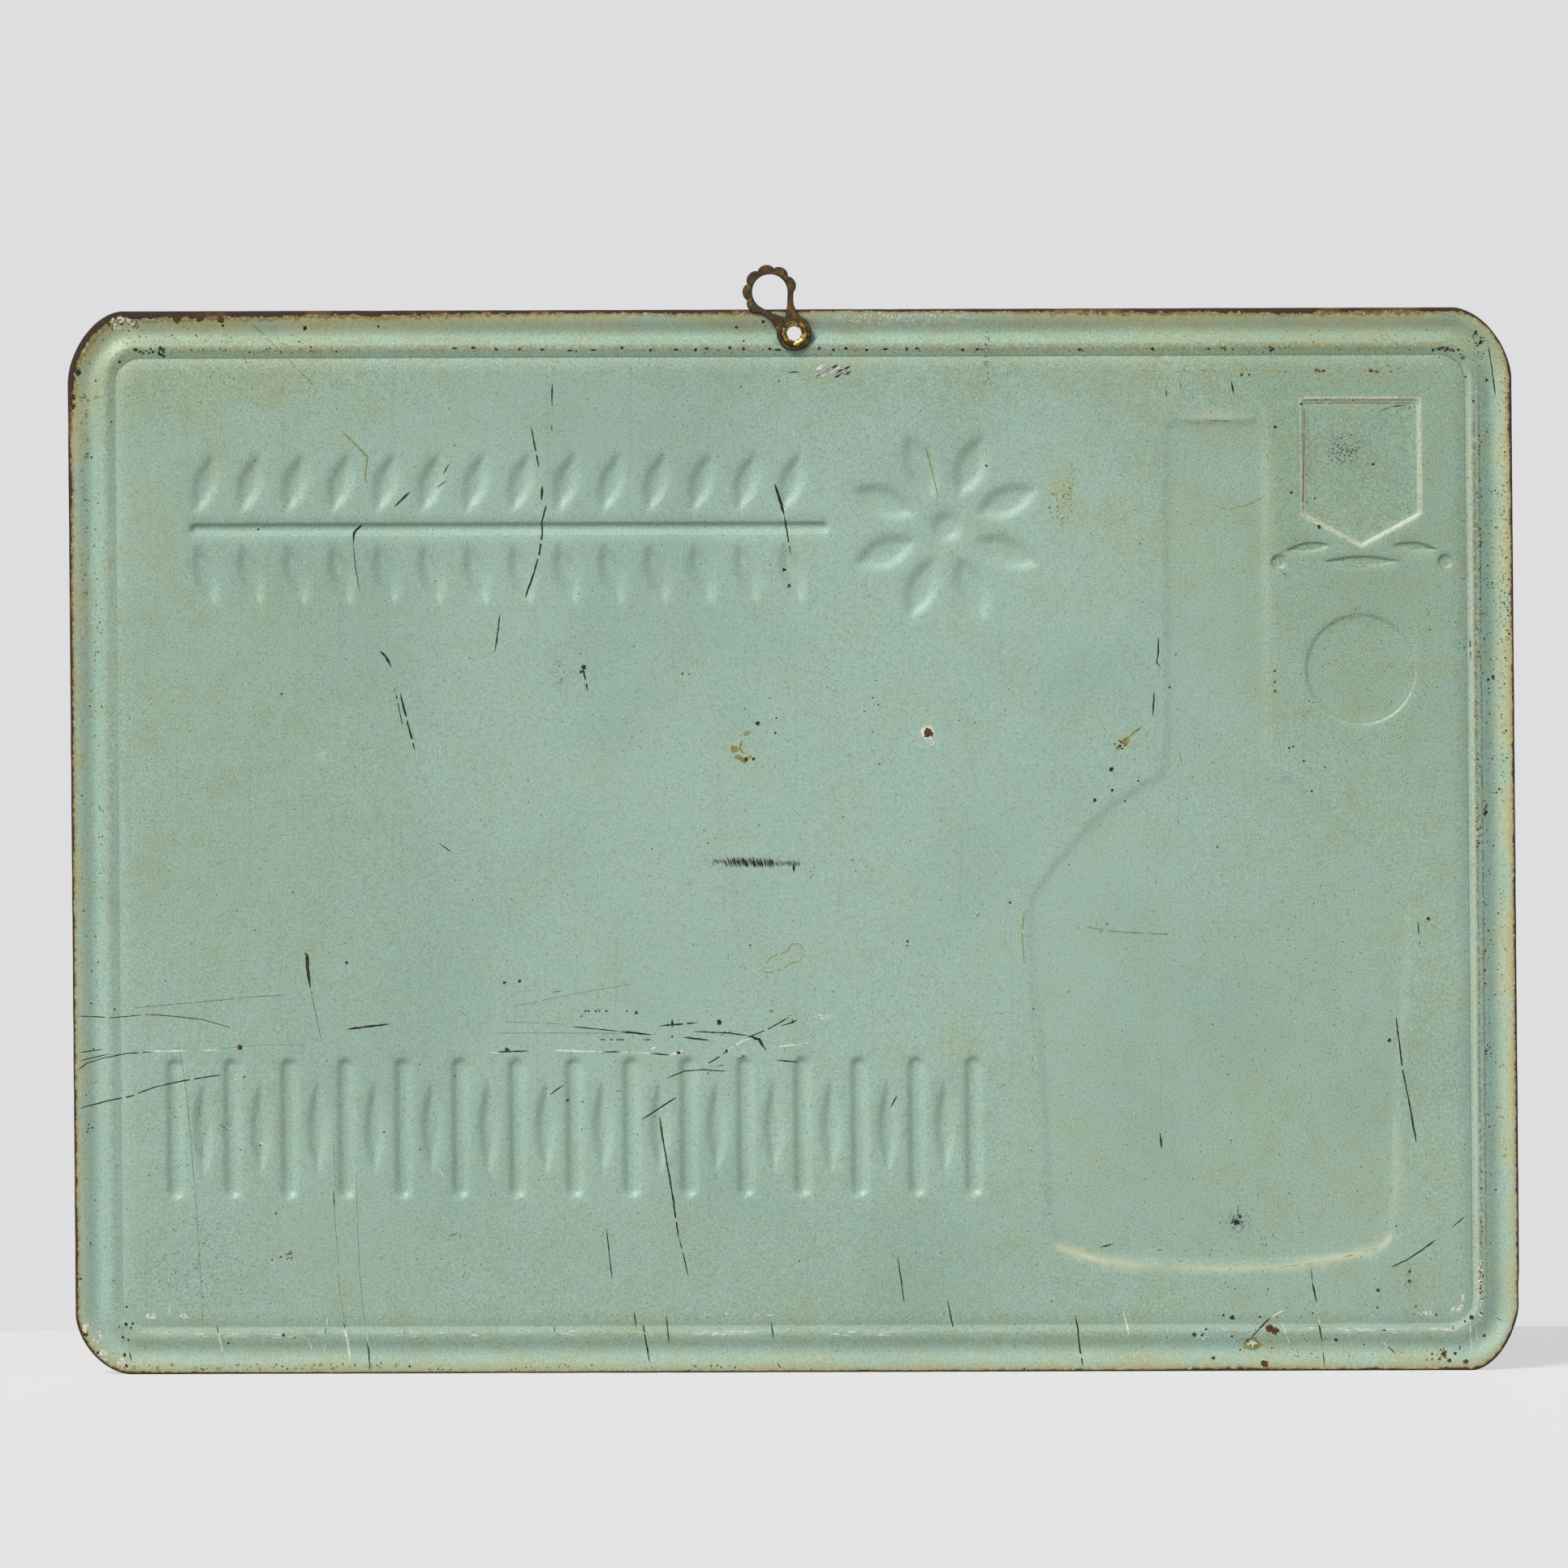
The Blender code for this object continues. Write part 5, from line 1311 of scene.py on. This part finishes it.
def enamel():
    made, tree, shader = material("sea_green_enamel")
    clouds = texture(tree, 60, 4.0)
    patches = texture(tree, 16, 5.0)
    mottle = texture(tree, 0.9, 5.0)
    grain = texture(tree, 0.48, 3.0)
    edge, bare_edge = attribute(tree, "edge_mm"), attribute(tree, "bare_mm")

    # The green and its grain
    warm = attribute(tree, "warm")
    deep = attribute(tree, "deep")
    warmth = plus(tree, warm, spread(tree, patches, 0.3, 0.7, -0.35, 0.4))
    tone = mix(tree, ramp(tree, warmth, -0.1, 1.1), colour(COOL), colour(WARM))
    tone = layered(tree, tone, ramp(tree, clouds, 0.45, 0.7), 0.6, DEEP)
    # The deep mark is painted shade: a darker, greener tone towards the panel's edges, beside the
    # flask's neck and over the emblem column.
    depth = times(tree, deep, spread(tree, patches, 0.3, 0.7, 0.8, 1.2))
    tone = layered(tree, tone, depth, 0.9, SHADED)
    warm_and_shaded = plus(tree, warm, deep)
    blotches = ramp(tree, texture(tree, 7, 6.0), 0.48, 0.66)
    blotches = times(tree, blotches, spread(tree, warm_and_shaded, 0, 1, 0.0, 0.9))
    tone = layered(tree, tone, blotches, 0.5, BLOTCH)
    amount = spread(tree, warm_and_shaded, 0, 1, 0.8, 1.4)
    value = plus(tree, times(tree, sums(tree, "SUBTRACT", grain, 0.52), amount), 1.0)
    tone = add(tree, "HueSaturation", {"Color": tone, "Value": value}).outputs[0]
    tone = layered(tree, tone, ramp(tree, mottle, 0.56, 0.66), 0.35, SPECK)
    wipes = ramp(tree, texture(tree, 0.9, 5.0, stretch=(1, 1, 0.015)), 0.60, 0.74)
    tone = layered(tree, tone, wipes, 0.11, SOOT)
    fewest = spread(tree, warm_and_shaded, 0, 1, 0.64, 0.40)
    tone = layered(tree, tone, pinholes(tree, 1.2, fewest, 0.24), 0.65, PINHOLE_AND_SHADE)
    holes = pinholes(tree, 5.0, 0.40, 0.34)
    tone = layered(tree, tone, holes, 0.8, PINHOLE_AND_SHADE)

    # Stains, soot, wear, and the rubbed mark's painted highlight
    broken = ramp(tree, mottle, 0.42, 0.60)
    for name, code in (("stain", TAN), ("soot", SOOT), ("chalk", CHALK)):
        cloud = times(tree, attribute(tree, name), broken)
        tone = layered(tree, tone, cloud, 0.9, code)
    # The rubbed mark: a painted highlight along the flask's lit walls and mouth, and pale wear
    # along the shield's top.
    tone = layered(tree, tone, attribute(tree, "rubbed"), 0.75, PALE_WEAR_AND_HIGHLIGHT)

    # The pressed walls. The shield's wall is worn pale, and its cream also paints the highlight
    # of its lit right and bottom sides. A painted shade line runs along the disc's and the
    # scroll's creases.
    wall = band(tree, attribute(tree, "shield_mm"), -0.2, 0.85, 0.3)
    wall = times(tree, wall, ramp(tree, mottle, 0.30, 0.55))
    tone = layered(tree, tone, wall, 0.60, CREAM_WEAR_AND_HIGHLIGHT)
    crease_shade = ramp(tree, attribute(tree, "crease_mm"), 0.24, 0.08)
    tone = layered(tree, tone, crease_shade, 0.22, PINHOLE_AND_SHADE)

    # The border, all widths in millimetres from the cut edge
    margin = attribute(tree, "margin_mm")
    yellowing = attribute(tree, "yellowing")
    uneven = spread(tree, patches, 0.35, 0.6, 0.35, 0.95)
    yellow = times(tree, ramp(tree, bare_edge, 6.0, 1.5), yellowing, uneven)
    tone = layered(tree, tone, yellow, 0.8, YELLOWED)
    uneven = ramp(tree, patches, 0.36, 0.52)
    yellow = times(tree, ramp(tree, bare_edge, 2.6, 0.2), uneven, yellowing)
    tone = layered(tree, tone, yellow, 0.8, OLD_YELLOW)
    fine_dirt = times(tree, texture(tree, 0.7, 4.0), 0.7)
    nearness = spread(tree, edge, 0.0, 9.0, 0.12, -0.08)
    dirt = plus(tree, times(tree, patches, 0.4), fine_dirt, nearness, times(tree, warm, 0.05))
    tone = layered(tree, tone, ramp(tree, dirt, 0.60, 0.70), 0.5, OCHRE)
    ridge = band(tree, edge, 9.8, 11.0, 0.5)
    ridge = times(tree, ridge, ramp(tree, mottle, 0.35, 0.6), attribute(tree, "ridge_wear"))
    tone = layered(tree, tone, ridge, 0.65, RIDGE_WORN)
    brown_lines = attribute(tree, "brown_lines")
    lines = band(tree, edge, 8.9, 9.2, 0.25)
    lines = sums(tree, "MAXIMUM", band(tree, edge, 10.4, 10.6, 0.2), lines)
    lines = times(tree, lines, brown_lines, ramp(tree, mottle, 0.36, 0.54))
    tone = layered(tree, tone, lines, 0.7, SCUFFED)
    # A dull cream band on the groove's crest on the right side: a painted highlight on the wall
    # that faces the lamp.
    crest_highlight = band(tree, edge, 11.4, 12.0, 0.3)
    crest_highlight = times(tree, crest_highlight, brown_lines, ramp(tree, mottle, 0.30, 0.55))
    tone = layered(tree, tone, crest_highlight, 0.55, CREST_HIGHLIGHT)
    # A dark line along the groove's bottom round the panel: painted shade, strongest on the top and
    # right sides, where its inner wall is turned from the lamp.
    line = times(tree, band(tree, edge, 12.9, 13.1, 0.2), attribute(tree, "panel_line"))
    tone = layered(tree, tone, line, 0.5, PINHOLE_AND_SHADE)

    # The frayed margin: crust, flaking brown and bare rust
    fray = spread(tree, texture(tree, 1.4, 6.0), 0.25, 0.75, -0.65, 0.65)
    fray = plus(tree, fray, spread(tree, patches, 0.3, 0.7, -0.35, 0.35))
    fray = times(tree, fray, spread(tree, margin, 0.5, 1.8, 0.35, 1))
    border = plus(tree, bare_edge, fray)
    crust = times(tree, ramp(tree, border, 1.0, 0.2), ramp(tree, mottle, 0.40, 0.52))
    tone = layered(tree, tone, crust, 0.7, OCHRE)
    brown = mix(tree, ramp(tree, patches, 0.5, 0.6), colour(CRUST), colour(CRUST_BROWN))
    flaking = times(tree, ramp(tree, border, 0.25, -0.15), ramp(tree, mottle, 0.36, 0.46), 0.85)
    tone = mix(tree, flaking, tone, brown)
    solid = plus(tree, attribute(tree, "solid_mm"), fray)
    bare = sums(tree, "MAXIMUM", ramp(tree, solid, 0.15, -0.05), ramp(tree, edge, 0.5, 0.3))
    rust = mix(tree, ramp(tree, patches, 0.56, 0.66), colour(RUST_DARK), colour(RUST_WARM))
    rust = layered(tree, rust, ramp(tree, grain, 0.5, 0.6), 0.5, RUST_DARK)
    tone = mix(tree, bare, tone, rust)

    # The satin, dull where it is bare, and a little relief
    dull = spread(tree, mottle, 0.3, 0.7, 0.43, 0.55)
    rough = plus(tree, dull, times(tree, bare, 0.35))
    low = times(tree, sums(tree, "MAXIMUM", holes, bare), -1.0)
    normal = relief(tree, low, 0.7, 0.00006, Normal=relief(tree, grain, 0.5, 0.00005))
    fill(tree, shader, {"Base Color": tone, "Roughness": rough, "IOR": 1.5, "Normal": normal})
    return made


sea_green = enamel()
print("enamel nodes:", len(sea_green.node_tree.nodes))

# %% [markdown]
# ## What shows where the paint is gone
#
# Old scratches show tinplate that has gone nearly black, fresh ones show bare tin, rust
# is a dull brown crust, and round it the varnish is stained tan. Each is its own finish
# with its own grain.

# %% Tarnished tin, chalked paint, rust, stained varnish and bare tin
def worn(name, first, second, size, roughness, metallic=0.0, shine=0.2):
    """A finish of two colours that break into each other at this size in millimetres."""
    made, tree, shader = material(name)
    share = ramp(tree, texture(tree, size, 4.0), 0.40, 0.60)
    tone = mix(tree, share, colour(first), colour(second))
    normal = relief(tree, texture(tree, size / 2, 3.0), 0.6, 0.0001)
    fill(tree, shader, {"Base Color": tone, "Roughness": roughness, "Normal": normal})
    fill(tree, shader, {"Metallic": metallic, "Specular IOR Level": shine})
    return made


def printed_face():
    """Ivory enamel with plain fields of colour on what stands out from the face."""
    made, tree, shader = material("ivory_enamel")
    clouds = ramp(tree, texture(tree, 40, 4.0), 0.35, 0.7)
    tone = mix(tree, clouds, colour("#D9CFAE"), colour("#CDBF97"))
    for name, code in (("band_mm", "#7C3B2C"), ("emblem_mm", "#B08A3C"), ("flask_mm", "#3F5A45")):
        tone = mix(tree, ramp(tree, attribute(tree, name), 0.25, 0.40), tone, colour(code))
    edge = attribute(tree, "edge_mm")
    for low, high, code in ((0.0, 10.6, "#3F5A45"), (12.0, 14.5, "#7C3B2C")):
        inner = sums(tree, "GREATER_THAN", edge, low)
        outer = sums(tree, "LESS_THAN", edge, high)
        tone = mix(tree, times(tree, inner, outer), tone, colour(code))
    specks = ramp(tree, texture(tree, 1.4, 6.0), 0.66, 0.72)
    tone = mix(tree, specks, tone, colour("#5A4632"))
    fray = times(tree, sums(tree, "SUBTRACT", texture(tree, 2.0, 6.0), 0.5), 4.0)
    bare = ramp(tree, plus(tree, edge, fray), 1.2, 0.7)
    tone = mix(tree, bare, tone, colour(RUST_WARM))
    dull = spread(tree, clouds, 0, 1, 0.28, 0.42)
    rough = plus(tree, dull, times(tree, bare, 0.4))
    normal = relief(tree, texture(tree, 1.5, 2.0), 0.3, 0.00005)
    fill(tree, shader, {"Base Color": tone, "Roughness": rough, "Normal": normal})
    return made


finishes = {
    "paint": sea_green,
    "dark": worn("tarnished_tin", "#191A1A", "#34342F", 1.0, 0.70),
    "pale": worn("chalked_paint", "#BDBBAA", "#DCDCCF", 0.8, 0.60),
    "rust": worn("rust_crust", "#382616", "#5E4528", 0.7, 0.85),
    "tan": worn("stained_varnish", "#74773F", "#8A8D55", 0.9, 0.60),
    "bare": worn("bare_tin", "#6F7270", "#A9ABA5", 0.6, 0.45, metallic=0.3, shine=0.5),
}
for kind in MARK_KINDS:
    sheet_mesh.materials.append(finishes[kind])
sheet_mesh.materials.append(printed_face())
sheet_mesh.materials.append(worn("rusted_cut_edge", "#2C2114", "#4F3A20", 1.2, 0.8, metallic=0.1))
print("finishes on the sheet:", len(sheet_mesh.materials))

# %% [markdown]
# ## The hanger
#
# The hanger is stamped from brass sheet 0.6 mm thick: a ring, two straps and a loop with
# six scallops. Stamping rolls its edges over, so its plate is full in the middle of each
# arm and falls off towards the outline. The outline has the sizes of the
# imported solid, with more points, and a fine grid inside it carries the roundness.

# %% The hanger's outline, opening and hole
HANGER_THICKNESS = 0.0006
HANGER_TURN = math.radians(30.3)
RING_RADIUS, LOOP_DISTANCE, OPENING_RADIUS = 0.0048, 0.0133, 0.0049
LOBES, LOBE_SPACING, LOBE_TIP, LOBE_NOTCH = 6, math.radians(40), 0.00756, 0.0066
RING_JOIN = math.radians(54)
WAIST = (0.0039, 0.0067)
loop_centre = np.array((0, LOOP_DISTANCE))
LOBE_STEPS, RING_STEPS, STRAP_STEPS, OPENING_STEPS = 14, 64, 12, 72

scallops = []
for i in range(LOBES * LOBE_STEPS + 1):
    angle = math.pi / 2 - LOBES * LOBE_SPACING / 2 + LOBE_SPACING * i / LOBE_STEPS
    bulge = abs(math.sin(math.pi * i / LOBE_STEPS)) ** 0.7
    scallops.append(loop_centre + turned(LOBE_NOTCH + (LOBE_TIP - LOBE_NOTCH) * bulge, angle))
around = 2 * math.pi - 2 * RING_JOIN
ring = [
    turned(RING_RADIUS, math.pi / 2 + RING_JOIN + around * i / RING_STEPS)
    for i in range(RING_STEPS + 1)
]
waist_left, waist_right = np.array(WAIST) * (-1, 1), np.array(WAIST)
left = smooth_run([scallops[-4], scallops[-1], waist_left, ring[0], ring[3]], STRAP_STEPS)
right = smooth_run([ring[-4], ring[-1], waist_right, scallops[0], scallops[3]], STRAP_STEPS)
outline = Outline(scallops + left[1:] + ring + right[1:], 0, 1)

first = math.radians(-30)
arc = [
    loop_centre + turned(OPENING_RADIUS, first + math.radians(240) * i / OPENING_STEPS)
    for i in range(OPENING_STEPS + 1)
]
throat = [(-0.0026, 0.0082), (-0.0011, 0.0063), (0, 0.0052), (0.0011, 0.0063), (0.0026, 0.0082)]
throat = smooth_run([arc[-3], arc[-1]] + throat + [arc[0], arc[2]], 6)
opening = Outline(arc + throat[1:], 0, 1)
bore = Outline(circle(np.zeros(2), HOLE_RADIUS, HOLE_STEPS), 0, 1)
print("hanger outline points:", len(outline.points) + len(opening.points))

# %% Raise the plate with rolled edges
FINE = 0.00022
ROLLED = 0.00035  # how far in from its edge the stamping rounds the plate
EDGE_SHARE = 0.45  # of the thickness, at the edge


def hanger_depth(spots):
    """Each place's distance from the nearest edge of the plate, below zero outside it."""
    return np.minimum.reduce(
        (outline.inside(spots), -opening.inside(spots), -bore.inside(spots))
    )


def half_thickness(depth):
    """Half the plate's thickness this far in from its edge, where it is rolled over."""
    share = np.clip(depth / ROLLED, 0, 1)
    rolled = EDGE_SHARE + (1 - EDGE_SHARE) * np.sqrt(1 - (1 - share) ** 2)
    return HANGER_THICKNESS / 2 * rolled


places, edges = [], []
for shape in (outline, opening, bore):
    edges += loop_edges(len(places), len(shape.points))
    places += shape.points
across, up = np.meshgrid(np.arange(-0.008, 0.008, FINE), np.arange(-0.005, 0.0215, FINE * ROW))
across[1::2] += FINE / 2
inner = np.column_stack((across.ravel(), up.ravel()))
inner = inner[hanger_depth(inner) > FINE * 0.35]
places += list(inner)
found = delaunay_2d_cdt([Vector(place) for place in places], edges, [], 0, 1e-7)
spots = np.array([tuple(place) for place in found[0]])
depths = hanger_depth(spots)
middles = np.array([spots[list(face)].mean(0) for face in found[2]])
solid = hanger_depth(middles) > 0
skin = [outward(spots, face) for face, keep in zip(found[2], solid) if keep]
print("hanger skin:", len(skin), "triangles")

# %% Close the hanger and set it on its axis
half = half_thickness(depths)
cosine, sine = math.cos(HANGER_TURN), math.sin(HANGER_TURN)
flat = spots @ np.array(((cosine, sine), (-sine, cosine)))
count = len(spots)
across, up = EYELET_AXIS.x + flat[:, 0], EYELET_AXIS.z + flat[:, 1]
near = np.column_stack((across, EYELET_AXIS.y - half, up))
far = np.column_stack((across, EYELET_AXIS.y + half, up))
rim = [(b, a, a + count, b + count) for a, b in open_edges(skin)]
rear = [tuple(i + count for i in reversed(face)) for face in skin]
points, faces = np.vstack((near, far)).tolist(), skin + rear + rim
hanger, hanger_mesh = built("scalloped_hanger", "hanger", points, faces)
on_points(hanger_mesh, "edge_mm", np.tile(1000 * depths, 2))
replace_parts(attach(hanger, "hanger"), "hanger_loop")
print("hanger triangles:", 2 * len(skin) + 2 * len(rim))

# %% [markdown]
# ## The eyelet
#
# A brass tube with a flange on the printed face goes through the sheet and the hanger. A
# punch splits and rolls its free end outwards, and the roll breaks into petals. So
# the turned section is modulated round its axis: each petal is full in its middle and
# sinks at the splits, and the bore follows it, which leaves it slightly many-sided.

# %% Turn the eyelet with its petals
BORE, TUBE_WALL, FLANGE, FLANGE_THICKNESS = 0.00205, 0.0003, 0.0037, 0.0004
ROLL, ROLL_HEIGHT, GAP = 0.0037, 0.00083, 0.0003
EYELET_PETALS, EYELET_STEPS, ROLL_STEPS = 8, 160, 14
OUTER_STEP = 9  # from this step on the roll is on its outer side
SPLIT_INSIDE, SPLIT_OUTSIDE, RIPPLE = 0.00030, 0.00012, 0.00008  # how far the roll sinks
SPLIT_WIDTH, PETAL_UNEVENNESS = 0.10, 0.3  # shares of a petal
AT_SPLIT_HEIGHT, AT_SPLIT_DRAWN_IN = 0.92, 0.03
BORE_FACETS, BORE_OVAL = 0.00006, 0.00005
BACK_OF_HANGER = BACK_FACE - 2 * GAP - HANGER_THICKNESS  # where the roll's foot lies
FACE_OF_SHEET = BACK_FACE + TROUGH_DEPTH + THICKNESS + GAP


def petal_share(angle):
    """0 at a split between two petals and 1 on the petal."""
    petal = angle * EYELET_PETALS / (2 * math.pi)
    phase = (petal + PETAL_UNEVENNESS * math.sin(2 * angle)) % 1
    return min(1, min(phase, 1 - phase) / SPLIT_WIDTH)


def eyelet_section(angle):
    """The section at this angle, as (radius, depth), with the roll folded by its petals."""
    full = petal_share(angle)
    wobble = BORE_FACETS * math.cos(EYELET_PETALS * angle) + BORE_OVAL * math.sin(3 * angle)
    bore = BORE + wobble
    middle, half = (bore + ROLL) / 2, (ROLL - bore) / 2
    section = []
    for i in range(ROLL_STEPS + 1):
        turn = math.pi * (1 - i / ROLL_STEPS)
        split = (1 - full) * (SPLIT_INSIDE if i < OUTER_STEP else SPLIT_OUTSIDE)
        ripple = RIPPLE * math.sin(4 * math.pi * i / ROLL_STEPS)
        height = ROLL_HEIGHT * (AT_SPLIT_HEIGHT + (1 - AT_SPLIT_HEIGHT) * full)
        lift = math.sin(turn) * (height - split) + ripple
        out = middle + half * math.cos(turn) * (1 - AT_SPLIT_DRAWN_IN * (1 - full))
        section.append((out, BACK_OF_HANGER - lift))
    section += [
        (BORE + TUBE_WALL, BACK_OF_HANGER),
        (BORE + TUBE_WALL, FACE_OF_SHEET),
        (FLANGE - 0.0001, FACE_OF_SHEET),
        (FLANGE, FACE_OF_SHEET + FLANGE_THICKNESS / 2),
        (FLANGE - FLANGE_THICKNESS / 2, FACE_OF_SHEET + FLANGE_THICKNESS),
        (BORE + FLANGE_THICKNESS, FACE_OF_SHEET + FLANGE_THICKNESS),
        (BORE, FACE_OF_SHEET + FLANGE_THICKNESS / 2),
        (BORE, BACK_FACE),
    ]
    return section


points, fold = [], []
for step in range(EYELET_STEPS):
    angle = 2 * math.pi * step / EYELET_STEPS
    for radius, depth in eyelet_section(angle):
        across, up = turned(radius, angle)
        points.append((EYELET_AXIS.x + across, depth, EYELET_AXIS.z + up))
        fold.append(petal_share(angle))
size = len(eyelet_section(0))
faces = []
for step in range(EYELET_STEPS):
    here, there = step * size, (step + 1) % EYELET_STEPS * size
    for i in range(size):
        j = (i + 1) % size
        faces.append((here + i, here + j, there + j, there + i))
eyelet, eyelet_mesh = built("clinched_eyelet", "eyelet", points, faces)
on_points(eyelet_mesh, "petal", fold)
eyelet_mesh.set_sharp_from_angle(angle=math.radians(50))
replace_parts(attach(eyelet, "sign"), "eyelet")
print("eyelet quads:", len(faces))

# %% [markdown]
# ## Brass, tarnished and rubbed
#
# Both brass pieces are the same metal at different ages. Brass tarnishes to a brown film
# that keeps the metal's shine under it, so it stays metallic, and only its colour and
# its roughness change. Where a finger or the wall rubs it, the yellow metal comes back: on the
# petals of the eyelet and in patches along the hanger.

# %% Brass
def brass(name, tarnish, film, bright, cover, roughness, outline=0.0):
    """Brown film over brass, rubbed bright in patches, and dark at an outline if one is given."""
    made, tree, shader = material(name)
    patches = ramp(tree, texture(tree, 2.6, 4.0), 0.42, 0.60)
    tone = mix(tree, patches, colour(tarnish), colour(film))
    rubbed = ramp(tree, texture(tree, 1.9, 5.0), cover, cover + 0.12)
    tone = mix(tree, rubbed, tone, colour(bright))
    spots = ramp(tree, texture(tree, 0.8, 4.0), 0.54, 0.66)
    tone = layered(tree, tone, spots, 0.75, "#2E2619")
    if outline:
        dark = ramp(tree, attribute(tree, "edge_mm"), outline, 0.0)
        tone = layered(tree, tone, dark, 0.9, "#221C14")
    rough = spread(tree, rubbed, 0, 1, roughness, roughness - 0.15)
    normal = relief(tree, texture(tree, 0.6, 4.0), 0.6, 0.00008)
    fill(tree, shader, {"Base Color": tone, "Metallic": 0.85, "Roughness": rough})
    fill(tree, shader, {"Normal": normal})
    return made


hanger_mesh.materials.append(
    brass("tarnished_brass", "#40392E", "#57472F", "#7E5D33", 0.53, 0.50, outline=0.42)
)
eyelet_mesh.materials.append(brass("rubbed_brass", "#463A22", "#73592A", "#B3934A", 0.50, 0.38))
print("brass finishes:", [m.name for m in (*hanger_mesh.materials, *eyelet_mesh.materials)])

# %% [markdown]
# ## The studio
#
# The sign stands on a white table before a pale wall, lit by one large soft lamp from the
# upper left in front, with an even white room round it. The lamp is what draws the
# pressing: top and left walls are turned from it, bottom and right walls face it. The
# table is a plain diffuse plane, and the pale wall is only what the camera sees of the world.

# %% The table, the wall and the lamp
TABLE_BEHIND = 0.16  # how far the table goes on behind the sign
LAMP_FROM = Vector((-0.46, -0.60, 0.68))
LAMP_SOFTNESS = math.radians(20)
LAMP_SHARE = 0.66  # of the light on the panel, the rest is the room's
ROOM_LIGHT = 0.36
WALL_COLOUR, TABLE_COLOUR, TABLE_GLOW = "#DEDEE1", "#80807F", 0.52

near, far, side = -2.5, BACK_FACE + TABLE_BEHIND, 3.0
ends = ((-side, near), (side, near), (side, far), (-side, far))
points = [(x, y, sheet_low.z) for x, y in ends]
floor, floor_mesh = built("table", "table", points, [(0, 1, 2, 3)], flat=1)
floor.visible_diffuse = False
white, tree, shader = material("white_table")
plain = {"Base Color": colour(TABLE_COLOUR), "Roughness": 0.8, "Specular IOR Level": 0.1}
plain |= {"Emission Color": (1, 1, 1, 1), "Emission Strength": TABLE_GLOW}
fill(tree, shader, plain)
floor_mesh.materials.append(white)

lamp = placed("soft_lamp", bpy.data.lights.new("soft_lamp", "SUN"))
lamp.data.angle = LAMP_SOFTNESS
cosine = -LAMP_FROM.normalized().y
lamp.data.energy = math.pi * LAMP_SHARE / cosine
lamp.location = MIDDLE + LAMP_FROM
lamp.rotation_euler = (-LAMP_FROM).to_track_quat("-Z", "Y").to_euler()

world = bpy.data.worlds.new("pale_room")
bpy.context.scene.world = world
world.use_nodes = True
tree = world.node_tree
rays = add(tree, "LightPath").outputs
seen = sums(tree, "MAXIMUM", rays["Is Camera Ray"], rays["Is Glossy Ray"])
seen = sums(tree, "MAXIMUM", seen, rays["Is Transmission Ray"])
room = add(tree, "Background", {"Color": (1, 1, 1, 1), "Strength": ROOM_LIGHT})
wall = add(tree, "Background", {"Color": colour(WALL_COLOUR), "Strength": 1.0})
both = add(tree, "MixShader", {0: seen, 1: room.outputs[0], 2: wall.outputs[0]})
tree.links.new(both.outputs[0], tree.nodes["World Output"].inputs[0])
bpy.context.scene.view_settings.view_transform = "Standard"
print("lamp strength:", round(lamp.data.energy, 2))
